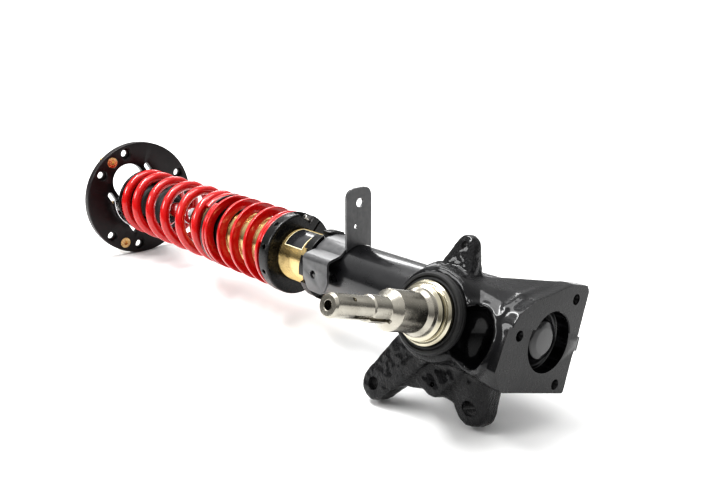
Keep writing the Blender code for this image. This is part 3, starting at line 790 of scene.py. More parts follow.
def circle_points(
    centre: Sequence[float], axis: Sequence[float], radius: float, segments: int,
) -> list[Vector]:
    """Return points on a circle about an axis.

    Args:
        centre: centre of the circle.
        axis: direction that it faces.
        radius: its radius.
        segments: number of points.

    Returns:
        The points in order.
    """
    spin = Vector((0, 0, 1)).rotation_difference(Vector(axis)).to_matrix()
    turns = [2 * math.pi * i / segments for i in range(segments)]
    return [
        Vector(centre) + spin @ Vector((radius * math.cos(t), radius * math.sin(t), 0))
        for t in turns
    ]


def bar(start: Sequence[float], end: Sequence[float], radius: float, segments: int = 32) -> BMesh:
    """Make a round bar between two points, as a cutter.

    Args:
        start: centre of one end.
        end: centre of the other end.
        radius: its radius.
        segments: sides round it.

    Returns:
        The closed bar.
    """
    axis = Vector(end) - Vector(start)
    bm = bmesh.new()
    rings = [
        [bm.verts.new(p) for p in circle_points(spot, axis, radius, segments)]
        for spot in (start, end)
    ]
    bm.faces.new(rings[0])
    bm.faces.new(list(reversed(rings[1])))
    join_rings(bm, rings, closed=False)
    return bm


def tapped(start: Sequence[float], end: Sequence[float], radius: float, pitch: float) -> BMesh:
    """Make the cutter of a threaded hole between two points.

    Args:
        start: bottom of the hole.
        end: mouth of the hole.
        radius: radius over the thread.
        pitch: step of the thread.

    Returns:
        The cutter.
    """
    run = Vector(end) - Vector(start)
    profile: list[Point2] = [(0, 0)]
    for i in range(int(run.length / pitch)):
        profile += [(i * pitch, radius), (i * pitch + pitch / 2, radius - 0.28 * pitch)]
    profile += [(run.length, radius), (run.length, 0)]
    spin = Vector((1, 0, 0)).rotation_difference(run).to_matrix().to_4x4()
    return moved(lathe(profile, 28), Matrix.Translation(start) @ spin)


def hexagon(across_corners: float, start_angle: float = 0.0) -> list[Point2]:
    """Return the six corners of a nut or a socket as (y, z)."""
    return [polar(start_angle + 60.0 * i, across_corners) for i in range(6)]


def racetrack(half: float, radius: float, steps: int, across: float = 0.0) -> list[Point2]:
    """Return a slot outline of (y, z), its long way along the camber slide.

    Args:
        half: half the distance between the end centres.
        radius: radius of the ends.
        steps: straight pieces per end.
        across: offset across the slide.

    Returns:
        The outline.
    """
    outline = []
    for side in (1, -1):
        for i in range(steps + 1):
            turn = math.pi * i / steps
            outline.append(
                (side * (half + radius * math.sin(turn)), side * radius * math.cos(turn))
            )
    return [on_slide(along, cross + across) for along, cross in outline]


def moved(bm: BMesh, matrix: Matrix) -> BMesh:
    """Move a mesh and hand it back."""
    bmesh.ops.transform(bm, matrix=matrix, verts=bm.verts)
    return bm


def shifted(bm: BMesh, x: float, y: float, z: float) -> BMesh:
    """Shift a mesh and hand it back."""
    return moved(bm, Matrix.Translation((x, y, z)))


def merged(parts: Sequence[BMesh]) -> BMesh:
    """Put several meshes into one, without joining their surfaces.

    Args:
        parts: the meshes, which are freed.

    Returns:
        The joint mesh.
    """
    whole = bmesh.new()
    for part in parts:
        bmesh.ops.recalc_face_normals(part, faces=part.faces)
        scrap = bpy.data.meshes.new("scrap")
        part.to_mesh(scrap)
        part.free()
        whole.from_mesh(scrap)
        bpy.data.meshes.remove(scrap)
    return whole


def solid(name: str, bm: BMesh) -> Piece:
    """Make an object, still in strut millimetres.

    Args:
        name: name of the object and its mesh.
        bm: the mesh, which is freed.

    Returns:
        The object.
    """
    bmesh.ops.recalc_face_normals(bm, faces=bm.faces)
    mesh = bpy.data.meshes.new(name)
    bm.to_mesh(mesh)
    bm.free()
    thing = bpy.data.objects.new(name, mesh)
    bpy.context.scene.collection.objects.link(thing)
    return thing


def settle(thing: Piece) -> Piece:
    """Turn an object's modifiers into its mesh.

    Args:
        thing: the object.

    Returns:
        The same object.
    """
    bpy.context.view_layer.update()
    graph = bpy.context.evaluated_depsgraph_get()
    mesh = bpy.data.meshes.new_from_object(thing.evaluated_get(graph))
    old = thing.data
    thing.modifiers.clear()
    thing.data = mesh
    mesh.name = thing.name
    if old.users == 0:
        bpy.data.meshes.remove(old)
    return thing


def discard(thing: Piece) -> None:
    """Remove a pattern or a tool together with its mesh."""
    mesh = thing.data
    bpy.data.objects.remove(thing)
    bpy.data.meshes.remove(mesh)


def carve(
    thing: Piece,
    cutters: Sequence[BMesh],
    operation: str = "DIFFERENCE",
) -> Piece:
    """Cut meshes out of a piece, or unite them with it.

    Args:
        thing: the piece.
        cutters: meshes in the same frame.
        operation: the Boolean operation.

    Returns:
        The same piece.
    """
    tools = [solid(f"tool_{i}", bm) for i, bm in enumerate(cutters)]
    for tool in tools:
        change = thing.modifiers.new(tool.name, "BOOLEAN")
        change.operation = operation
        change.solver = "EXACT"
        change.object = tool
        tool.hide_render = True
    settle(thing)
    for tool in tools:
        discard(tool)
    return thing


def ease_edges(thing: Piece, width: float, segments: int = 2, angle: float = 40.0) -> Piece:
    """Round a piece's sharp edges a little.

    Args:
        thing: the piece.
        width: width of the rounding.
        segments: steps across it.
        angle: edges sharper than this are rounded.

    Returns:
        The same piece.
    """
    change = thing.modifiers.new("eased", "BEVEL")
    change.width = width
    change.segments = segments
    change.limit_method = "ANGLE"
    change.angle_limit = math.radians(angle)
    change.use_clamp_overlap = True
    return settle(thing)


# ---------------------------------------------------------------------------------------------
# Geometry Nodes


class NodeTree(Wiring):
    """A Geometry Nodes tree with named inputs, built one node at a time."""

    def __init__(self, name: str, inputs: Sequence[tuple[str, str, object]]) -> None:
        """Make the tree and its sockets.

        Args:
            name: the tree's name.
            inputs: name, socket type and default of each input.
        """
        super().__init__(bpy.data.node_groups.new(name, "GeometryNodeTree"))
        for label, kind, value in inputs:
            socket = self.tree.interface.new_socket(label, in_out="INPUT", socket_type=kind)
            if value is not None:
                socket.default_value = value
        self.tree.interface.new_socket(
            "Geometry", in_out="OUTPUT", socket_type="NodeSocketGeometry",
        )
        self.inputs = self.tree.nodes.new("NodeGroupInput").outputs
        self.result = self.tree.nodes.new("NodeGroupOutput").inputs[0]

    def close(self, geometry: Socket) -> Tree:
        """End the tree in Realize Instances and Set Material.

        Args:
            geometry: the last geometry.

        Returns:
            The finished tree.
        """
        real = self.add("GeometryNodeRealizeInstances")
        self.feed(real.inputs["Geometry"], geometry)
        dressed = self.add("GeometryNodeSetMaterial")
        self.feed(dressed.inputs["Geometry"], real.outputs["Geometry"])
        self.feed(dressed.inputs["Material"], self.inputs["Finish"])
        self.tree.links.new(dressed.outputs["Geometry"], self.result)
        return self.tree

    @staticmethod
    def run(host: Piece, tree: Tree, values: dict[str, object]) -> Piece:
        """Put a tree on an object with its input values and turn the result into its mesh.

        Args:
            host: the object that carries the modifier.
            tree: the tree.
            values: input values by name.

        Returns:
            The same object.
        """
        change = host.modifiers.new(tree.name, "NODES")
        change.node_group = tree
        for item in tree.interface.items_tree:
            if item.in_out == "INPUT" and item.name in values:
                change[item.identifier] = values[item.name]
        return settle(host)


def coil_tree() -> Tree:
    """Build the tree of a coil about Z, with closed ends and a round or a flat wire.

    Returns:
        The tree.
    """
    number, whole = "NodeSocketFloat", "NodeSocketInt"
    work = NodeTree("coil_of_wire", [
        ("Geometry", "NodeSocketGeometry", None),
        ("Turns", number, 6.0), ("Steps per Turn", number, 72.0), ("Start Angle", number, 0.0),
        ("Centre Radius", number, 37.0), ("Start Height", number, 0.0),
        ("End Height", number, 100.0),
        ("First Turns", number, 1.0), ("First Pitch", number, 5.0),
        ("Last Turns", number, 1.0), ("Last Pitch", number, 5.0),
        ("Flat Wire", "NodeSocketBool", False), ("Wire Width", number, 12.0),
        ("Wire Height", number, 12.0), ("Wire Corner", number, 1.0), ("Wire Sides", whole, 16),
        ("Finish", "NodeSocketMaterial", None),
    ])
    give = work.inputs
    line = work.add("GeometryNodeCurvePrimitiveLine")
    line.inputs["End"].default_value = (0, 0, 1)
    points = work.add("GeometryNodeResampleCurve")
    work.feed(points.inputs["Curve"], line.outputs["Curve"])
    work.feed(
        points.inputs["Count"],
        work.math("MULTIPLY_ADD", give["Turns"], give["Steps per Turn"], 1.0),
    )
    share = work.add("GeometryNodeSplineParameter").outputs["Factor"]
    turn = work.math("MULTIPLY", share, give["Turns"])
    angle = work.math("MULTIPLY_ADD", turn, 2 * math.pi, give["Start Angle"])
    rise_first = work.math("MULTIPLY", give["First Turns"], give["First Pitch"])
    rise_last = work.math("MULTIPLY", give["Last Turns"], give["Last Pitch"])
    last_turn = work.math("SUBTRACT", give["Turns"], give["Last Turns"])
    span = work.math("SUBTRACT", give["End Height"], give["Start Height"])
    open_rise = work.math("SUBTRACT", work.math("SUBTRACT", span, rise_first), rise_last)
    height = work.math(
        "ADD", give["Start Height"], work.remap(turn, (0.0, give["First Turns"]), (0.0, rise_first))
    )
    height = work.math(
        "ADD", height, work.remap(turn, (give["First Turns"], last_turn), (0.0, open_rise)),
    )
    height = work.math(
        "ADD", height, work.remap(turn, (last_turn, give["Turns"]), (0.0, rise_last)),
    )
    spot = work.add("ShaderNodeCombineXYZ")
    inward = work.math("MULTIPLY", work.math("SINE", angle), -1.0)
    work.feed(spot.inputs["X"], work.math("MULTIPLY", inward, give["Centre Radius"]))
    work.feed(
        spot.inputs["Y"], work.math("MULTIPLY", work.math("COSINE", angle), give["Centre Radius"]),
    )
    work.feed(spot.inputs["Z"], height)
    placed = work.add("GeometryNodeSetPosition")
    work.feed(placed.inputs["Geometry"], points.outputs["Curve"])
    work.feed(placed.inputs["Position"], spot.outputs["Vector"])
    upright = work.add("GeometryNodeSetCurveNormal", mode="Z_UP")
    work.feed(upright.inputs["Curve"], placed.outputs["Geometry"])
    ring = work.add("GeometryNodeCurvePrimitiveCircle")
    work.feed(ring.inputs["Resolution"], give["Wire Sides"])
    work.feed(ring.inputs["Radius"], work.math("MULTIPLY", give["Wire Width"], 0.5))
    block = work.add("GeometryNodeCurvePrimitiveQuadrilateral")
    work.feed(block.inputs["Width"], give["Wire Width"])
    work.feed(block.inputs["Height"], give["Wire Height"])
    eased = work.add("GeometryNodeFilletCurve")
    for item in (sock for sock in eased.inputs if sock.name == "Mode"):
        item.default_value = "Poly"
    if hasattr(eased, "mode"):
        eased.mode = "POLY"
    eased.inputs["Count"].default_value = 3
    work.feed(eased.inputs["Curve"], block.outputs["Curve"])
    work.feed(eased.inputs["Radius"], give["Wire Corner"])
    chosen = work.add("GeometryNodeSwitch", input_type="GEOMETRY")
    work.feed(chosen.inputs["Switch"], give["Flat Wire"])
    work.feed(chosen.inputs["False"], ring.outputs["Curve"])
    work.feed(chosen.inputs["True"], eased.outputs["Curve"])
    swept = work.add("GeometryNodeCurveToMesh")
    swept.inputs["Fill Caps"].default_value = True
    work.feed(swept.inputs["Curve"], upright.outputs["Curve"])
    work.feed(swept.inputs["Profile Curve"], chosen.outputs["Output"])
    return work.close(swept.outputs["Mesh"])


def row_tree() -> Tree:
    """Build the tree that puts one piece on every point of a mesh.

    Returns:
        The tree.
    """
    work = NodeTree("piece_on_points", [
        ("Geometry", "NodeSocketGeometry", None),
        ("Piece", "NodeSocketObject", None),
        ("Turn", "NodeSocketFloat", 0.0),
        ("Finish", "NodeSocketMaterial", None),
    ])
    source = work.add("GeometryNodeObjectInfo", transform_space="ORIGINAL")
    work.feed(source.inputs["Object"], work.inputs["Piece"])
    spin = work.add("ShaderNodeCombineXYZ")
    work.feed(spin.inputs["X"], work.inputs["Turn"])
    placed = work.add("GeometryNodeInstanceOnPoints")
    work.feed(placed.inputs["Points"], work.inputs["Geometry"])
    work.feed(placed.inputs["Instance"], source.outputs["Geometry"])
    work.feed(placed.inputs["Rotation"], spin.outputs["Vector"])
    return work.close(placed.outputs["Instances"])


@dataclass(frozen=True)
class Coil:
    """Sizes of one coil: heights are x along the strut, and a closed end is (turns, pitch)."""

    start: float
    end: float
    turns: float
    angle: float
    radius: float
    first: Point2
    last: Point2
    width: float
    height: float
    flat: bool = False
    corner: float = 1.0
    sides: int = 16
    steps: float = 72.0


# ---------------------------------------------------------------------------------------------
# The shop: what every sub-assembly uses


class Shop:
    """Makes, dresses and mounts finished pieces."""

    def __init__(self, axis: StrutAxis, finishes: Finishes) -> None:
        """Keep the frame and the finishes, and build the shared trees.

        Args:
            axis: the strut's place in the part's frame.
            finishes: every finish.
        """
        self.axis = axis
        self.finishes = finishes
        self.coils = coil_tree()
        self.rows = row_tree()

    def mount(
        self,
        thing: Piece,
        body: str,
        nodes: Sequence[str],
        *finishes: Finish,
        choose: Callable[[Vector, Vector], int] | None = None,
        smooth: float = SMOOTH_ANGLE,
    ) -> Piece:
        """Bake a piece into the part's frame, dress it and let it ride.

        Args:
            thing: the piece in strut millimetres.
            body: the CAD body that it rides on.
            nodes: the CAD nodes that it stands for.
            finishes: its finishes; the first gives the material slot.
            choose: finish index from a face's centre and normal, in strut millimetres.
            smooth: edges sharper than this angle stay sharp.

        Returns:
            The mounted piece.
        """
        mesh = thing.data
        if choose is not None:
            picks = [choose(face.center.copy(), face.normal.copy()) for face in mesh.polygons]
        mesh.materials.clear()
        for finish in finishes:
            mesh.materials.append(finish.build())
        for i, face in enumerate(mesh.polygons):
            face.material_index = picks[i] if choose is not None else 0
        mesh.transform(self.axis.matrix())
        mesh.shade_smooth()
        mesh.set_sharp_from_angle(angle=math.radians(smooth))
        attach(thing, body)
        if nodes:
            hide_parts(*nodes)
        mesh.calc_loop_triangles()
        LOG.info("%s rides on %s, %d triangles", thing.name, body, len(mesh.loop_triangles))
        return thing

    def piece(self, name: str, bm: BMesh, body: str, node: str, finish: Finish) -> Piece:
        """Mount a mesh that needs no more work and stands for one CAD node.

        Args:
            name: the piece's name.
            bm: its mesh in strut millimetres.
            body: the CAD body that it rides on.
            node: the CAD node that it stands for.
            finish: its finish.

        Returns:
            The mounted piece.
        """
        return self.mount(solid(name, bm), body, [node], finish)

    def coil(self, name: str, coil: Coil, finish: Finish) -> Piece:
        """Wind a coil about the strut axis.

        Args:
            name: name of the piece.
            coil: its sizes.
            finish: its finish.

        Returns:
            The coil in strut millimetres.
        """
        host = bpy.data.objects.new(name, bpy.data.meshes.new(name))
        bpy.context.scene.collection.objects.link(host)
        NodeTree.run(host, self.coils, {
            "Turns": coil.turns, "Steps per Turn": coil.steps,
            "Start Angle": math.radians(coil.angle),
            "Centre Radius": coil.radius, "Start Height": coil.start, "End Height": coil.end,
            "First Turns": coil.first[0], "First Pitch": coil.first[1],
            "Last Turns": coil.last[0], "Last Pitch": coil.last[1], "Flat Wire": coil.flat,
            "Wire Width": coil.width, "Wire Height": coil.height, "Wire Corner": coil.corner,
            "Wire Sides": coil.sides, "Finish": finish.build(),
        })
        host.data.transform(Matrix(((0, 0, 1, 0), (1, 0, 0, 0), (0, 1, 0, 0), (0, 0, 0, 1))))
        return host

    def row(self, name: str, piece: Piece, spots: Sequence[Sequence[float]], finish: Finish,
            turn: float = 0.0) -> Piece:
        """Put one fastener on several spots and drop the pattern piece.

        Args:
            name: name of the row.
            piece: the pattern, which is removed.
            spots: where it goes.
            finish: its finish.
            turn: degrees that each one is turned about X.

        Returns:
            The row in strut millimetres.
        """
        host = solid(name, bmesh.new())
        host.data.from_pydata([tuple(spot) for spot in spots], [], [])
        NodeTree.run(
            host, self.rows, {"Piece": piece, "Turn": math.radians(turn), "Finish": finish.build()},
        )
        discard(piece)
        return host


# ---------------------------------------------------------------------------------------------
# Sub-assemblies


@dataclass
class TopMount:
    """Camber plate, bearing carrier, spherical bearing and their fasteners."""

    shop: Shop
    groups: tuple[float, ...] = (35.0, 155.0, 275.0)
    spread: float = 19.5
    bolt_circle: float = 65.0
    window_radius: float = 23.5
    carrier_radius: float = 41.0
    carrier_half: float = 22.9
    slot_offset: float = 32.5
    slot_half: float = 31.5
    slot_radius: float = 3.6
    window_half: float = 30.0
    clamp_half: float = 12.0
    stud_threads: int = 17
    clamp_threads: int = 22

    def clamps(self) -> list[Point2]:
        """Return y and z of the four clamp bolts."""
        return [on_slide(a, c) for c in (-self.slot_offset, self.slot_offset)
                for a in (-self.clamp_half, self.clamp_half)]

    def build(self) -> None:
        """Build every piece of the top mount."""
        self.plate()
        self.screws()
        self.carrier()
        self.clamp_bolts()
        self.bearing()

    def plate(self) -> None:
        """Turn the plate and cut its window, slots and fixing holes."""
        deep = PLATE_THICKNESS
        blank = turned(
            [(0, 0), (0, PLATE_RADIUS, 1.5), (-deep, PLATE_RADIUS, 1.5), (-deep, 0)], 1.0, 160,
        )
        plate = solid("camber_plate_finished", blank)
        cutters = [prism(racetrack(self.window_half, self.window_radius, 28), -deep - 2, 2)]
        for side in (-1, 1):
            slot = racetrack(self.slot_half, self.slot_radius, 12, side * self.slot_offset)
            cutters.append(prism(slot, -deep - 2, 2))
        for group in self.groups:
            for side in (-1, 1):
                y, z = polar(group + side * self.spread, self.bolt_circle)
                hole = [(2, 0), (2, 7), (-6, 7), (-6, 4.5), (-deep - 2, 4.5), (-deep - 2, 0)]
                cutters.append(shifted(lathe(hole, 32), 0, y, z))
            y, z = polar(group, self.bolt_circle)
            sink = [(2, 0), (2, 7.8), (0, 7.8), (-4.5, 4.4), (-deep - 2, 4.4), (-deep - 2, 0)]
            cutters.append(shifted(lathe(sink, 32), 0, y, z))
        carve(plate, cutters)
        ease_edges(plate, 0.4)
        self.shop.mount(plate, "plate", ["camber_plate"], self.shop.finishes.plate)

    def screws(self) -> None:
        """Countersunk socket studs that hold the plate."""
        profile: list[tuple[float, ...]] = [
            (-0.3, 0), (-0.3, 7.1, 0.3), (-0.8, 7.1, 0.3), (-4.1, 4.0, 0.3), (-9.5, 4.0),
        ]
        for i in range(self.stud_threads):
            x = -10.5 - 1.25 * i
            profile += [(x, 3.95, 0.05), (x - 0.6, 3.45, 0.05)]
        profile += [(-32, 3.2), (-32, 0)]
        screw = solid("screw_pattern", turned(profile, 0.3, 36))
        carve(screw, [prism(hexagon(3.2), -3.4, 1)])
        spots = [(0, *polar(group, self.bolt_circle)) for group in self.groups]
        made = self.shop.row("plate_screws", screw, spots, self.shop.finishes.zinc_bolt)
        nodes = [f"plate_screw_{i + 1}" for i in range(3)]
        self.shop.mount(made, "plate", nodes, self.shop.finishes.zinc_bolt)

    def carrier(self) -> None:
        """Flanged housing of the bearing, flat on two sides."""
        rim, bore = self.carrier_radius, self.window_radius - 0.7
        section = [(0.4, bore), (0.4, rim, 0.5), (5.4, rim, 0.9), (5.4, 15.8, 0.4), (4.2, 15.8),
                   (4.2, 19.0), (-10.4, 19.0, 0.4), (-10.4, bore, 0.6)]
        carrier = solid("bearing_carrier_finished", turned(section, 0.3, 120))
        cutters = [shifted(bar((-2, 0, 0), (8, 0, 0), 3.4), 0, y, z) for y, z in self.clamps()]
        for side in (-1, 1):
            corners = ((self.carrier_half, -60), (60, -60), (60, 60), (self.carrier_half, 60))
            cutters.append(prism([on_slide(side * a, c) for a, c in corners], -1, 8))
        carve(carrier, cutters)
        ease_edges(carrier, 0.35)
        self.shop.mount(carrier, "carrier", ["bearing_carrier"], self.shop.finishes.carrier)

    def clamp_bolts(self) -> None:
        """Socket bolts under the carrier, and their nuts above the plate."""
        shank: list[tuple[float, ...]] = [(10.4, 0), (10.4, 5, 0.6), (5.7, 5, 0.2), (5.7, 3, 0.2)]
        for i in range(self.clamp_threads):
            x = 5.0 - i
            shank += [(x, 2.95, 0.05), (x - 0.5, 2.5, 0.05)]
        shank += [(-17, 2.6, 0.4), (-17, 0)]
        bolt = solid("bolt_pattern", turned(shank, 0.2, 36))
        carve(bolt, [prism(hexagon(2.9, 15.0), 7.8, 12)])
        spots = [(0, y, z) for y, z in self.clamps()]
        made = self.shop.row("carrier_bolts", bolt, spots, self.shop.finishes.steel)
        names = range(1, 5)
        self.shop.mount(
            made, "carrier", [f"carrier_bolt_{i}" for i in names], self.shop.finishes.steel,
        )
        nut = self.nut("nut_pattern", 5.4, 3.05, -15.3, -10.3)
        made = self.shop.row("carrier_nuts", nut, spots, self.shop.finishes.zinc_bolt)
        self.shop.mount(
            made, "carrier", [f"carrier_nut_{i}" for i in names], self.shop.finishes.zinc_bolt,
        )

    @staticmethod
    def nut(name: str, corner: float, bore: float, start: float, end: float) -> Piece:
        """Make a hexagon nut with turned corners.

        Args:
            name: the piece's name.
            corner: radius over the corners.
            bore: radius of the hole.
            start: lower station along the strut.
            end: upper station along the strut.

        Returns:
            The nut.
        """
        flat = corner * math.cos(math.pi / 6)
        tip = (corner - flat) * 0.8
        blank = [(start, bore), (start, flat), (start + tip, corner + 0.1),
                 (end - tip, corner + 0.1), (end, flat), (end, bore)]
        nut = solid(name, lathe(blank, 60))
        return carve(nut, [prism(hexagon(corner), start - 1, end + 1)], "INTERSECT")

    def bearing(self) -> None:
        """Ball, liner, race and the ring that holds them."""
        finishes = self.shop.finishes

        def arc(radius: float, start: float, end: float, steps: int) -> list[Point2]:
            """Return points of a circle round the ball's centre, from one angle to another."""
            turns = [math.radians(start + (end - start) * i / steps) for i in range(steps + 1)]
            return [(BALL_X - radius * math.cos(t), radius * math.sin(t)) for t in turns]

        ball = arc(12.7, 42, 138, 24) + [(BALL_X + 9.44, 7.0), (BALL_X - 9.44, 7.0)]
        self.shop.piece(
            "bearing_ball_finished", lathe(ball, 72), "rod", "bearing_ball", finishes.chrome,
        )
        liner = arc(14.0, 70, 110, 10) + list(reversed(arc(13.2, 70, 110, 10)))
        self.shop.piece(
            "bearing_liner_finished", lathe(liner, 72), "liner", "bearing_liner", finishes.liner,
        )
        lip = math.degrees(math.acos(6.0 / 14.4))
        low, high, mouth = BALL_X - 6, BALL_X + 6, 14.4 * math.sin(math.radians(lip))
        corners = [(high, mouth), (high, 18.65), (low, 18.65), (low, mouth)]
        race = arc(14.4, lip, 180 - lip, 16) + soften(corners, 0.6, closed=False)[1:-1]
        self.shop.piece(
            "bearing_race_finished", lathe(race, 72), "carrier", "bearing_race", finishes.steel,
        )
        ring = bmesh.new()
        rings = []
        for i in range(61):
            inner = 16.1 - (2.2 if i < 4 or i > 56 else 0.0) * (1 - min(i, 60 - i) / 6)
            section = ((-8.4, inner), (-8.4, 18.7), (-9.8, 18.7), (-9.8, inner))
            rings.append(
                [ring.verts.new((x, *polar(20.0 + 320.0 * i / 60, r))) for x, r in section]
            )
        join_rings(ring, rings, closed=False)
        ring.faces.new(rings[0])
        ring.faces.new(list(reversed(rings[-1])))
        self.shop.piece("race_circlip_finished", ring, "carrier", "race_circlip", finishes.steel)


@dataclass
class Springs:
    """Main and tender springs, with the seats on both sides of them."""

    shop: Shop
    wire: float = 12.0
    flat_width: float = 10.5
    flat_height: float = 4.6
    main_turns: float = 6.236
    tender_turns: float = 6.1
    main_keep: float = 0.795
    tender_keep: float = 0.707
    perch_radius: float = 44.0
    spanner_holes: int = 10
    spanner_start: float = 34.0
    spanner_radius: float = 2.7
    split_roll: float = -42.0

    def build(self) -> None:
        """Build the springs, seats and perch."""
        self.main_spring()
        self.tender_spring()
        self.seats()
        self.perch()

    def main_spring(self) -> None:
        """Wind the round wire spring."""
        half = self.wire / 2
        end = COUPLER_X - 0.4
        coil = Coil(MAIN_X + half, end - half, self.main_turns, -45.0, SPRING_OUTER - half,
                    (0.7, 13.5), (0.62, 3.0), self.wire, self.wire, sides=20)
        made = self.shop.coil("main_spring_finished", coil, self.shop.finishes.red)
        self.shop.mount(made, "coupler", ["main_spring"], self.shop.finishes.red, smooth=50.0)
        self.shop.axis.place(end, 0, 0)
        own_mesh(made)

    def tender_spring(self) -> None:
        """Wind the flat wire spring."""
        half = self.flat_height / 2
        end = PERCH_X - 0.4
        coil = Coil(COUPLER_X + COUPLER_FLANGE + 0.3 + half, end - half, self.tender_turns, 30.0,
                    SPRING_OUTER - self.flat_width / 2, (1.1, 4.9), (1.1, 4.9),
                    self.flat_width, self.flat_height, flat=True, corner=1.1)
        made = self.shop.coil("tender_spring_finished", coil, self.shop.finishes.red)
        self.shop.mount(made, "tender", ["tender_spring"], self.shop.finishes.red, smooth=50.0)
        self.shop.axis.place(end, 0, 0)
        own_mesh(made)

    def seats(self) -> None:
        """Turn the upper seat and the coupler between the springs."""
        rim = 40.5
        upper = [(SEAT_X, 8.8, 0.3), (SEAT_X, rim, 0.8), (SEAT_X + 4, rim, 0.8),
                 (SEAT_X + 4, 30.2, 0.8), (SEAT_X + 13, 29.6, 1.2), (SEAT_X + 13, 24, 0.8),
                 (SEAT_X + 7, 24, 0.8), (SEAT_X + 7, 8.8, 0.3)]
        self.shop.piece(
            "upper_seat_finished",
            turned(upper, 0.5, 112),
            "rod",
            "upper_spring_seat",
            self.shop.finishes.tube,
        )
        face, bore = COUPLER_X, BODY_RADIUS + 0.8
        sleeve = [(face, 30.6, 0.4), (face, 42.4, 0.7), (face + COUPLER_FLANGE, 42.4, 0.7),
                  (face + COUPLER_FLANGE, 30.6, 0.4), (face + 30, 30.6, 0.6),
                  (face + 30, bore, 0.4), (face - 16, bore, 0.4), (face - 16, 30.6, 0.6)]
        self.shop.piece(
            "coupler_finished",
            turned(sleeve, 0.5, 112),
            "coupler",
            "spring_coupler",
            self.shop.finishes.moulded,
        )

    def perch(self) -> None:
        """Split clamp collar with spanner holes, and its pinch screw."""
        front = PERCH_X + PERCH_WIDTH
        bore = BODY_RADIUS + 0.35
        section = [(PERCH_X, bore, 0.5), (PERCH_X, self.perch_radius, 1.0),
                   (front, self.perch_radius, 2.4), (front, bore, 0.6)]
        perch = solid("perch_finished", turned(section, 0.6, 120))
        middle = PERCH_X + PERCH_WIDTH / 2
        cutters = []
        for i in range(self.spanner_holes):
            angle = self.spanner_start + 360.0 / self.spanner_holes * i
            inner, outer = polar(angle, 37), polar(angle, 48)
            cutters.append(bar((middle, *inner), (middle, *outer), self.spanner_radius, 24))
        roll = Matrix.Rotation(math.radians(self.split_roll), 4, "X")
        split = [(-1.1, 20), (1.1, 20), (1.1, 60), (-1.1, 60)]
        cutters.append(moved(prism(split, PERCH_X - 2, front + 2), roll))
        pocket = soften([(-30, 33.2), (-9, 33.2), (-9, 60), (-30, 60)], 1.5, closed=True)
        cutters.append(moved(prism(pocket, PERCH_X + 2.5, front + 2), roll))
        cutters.append(
            moved(bar((middle + 0.7, -20, 36.4), (middle + 0.7, 14, 36.4), 2.5, 24), roll)
        )
        carve(perch, cutters)
        ease_edges(perch, 0.3)
        self.shop.mount(perch, "perch", ["spring_perch"], self.shop.finishes.collar)
        head = [(-3.0, 0), (-3.0, 3.2, 0.4), (4, 3.2, 0.2), (4, 2.1, 0.2), (20, 2.1, 0.3), (20, 0)]
        screw = solid("perch_screw_finished", turned(head, 0.3, 36))
        carve(screw, [prism(hexagon(1.7), -4, -0.6)])
        stand = Matrix.Translation(
            (middle + 0.7, -13.4, 36.4)
        ) @ Matrix.Rotation(math.radians(90), 4, "Z")
        screw.data.transform(roll @ stand)
        self.shop.mount(screw, "perch", ["perch_clamp_screw"], self.shop.finishes.steel)


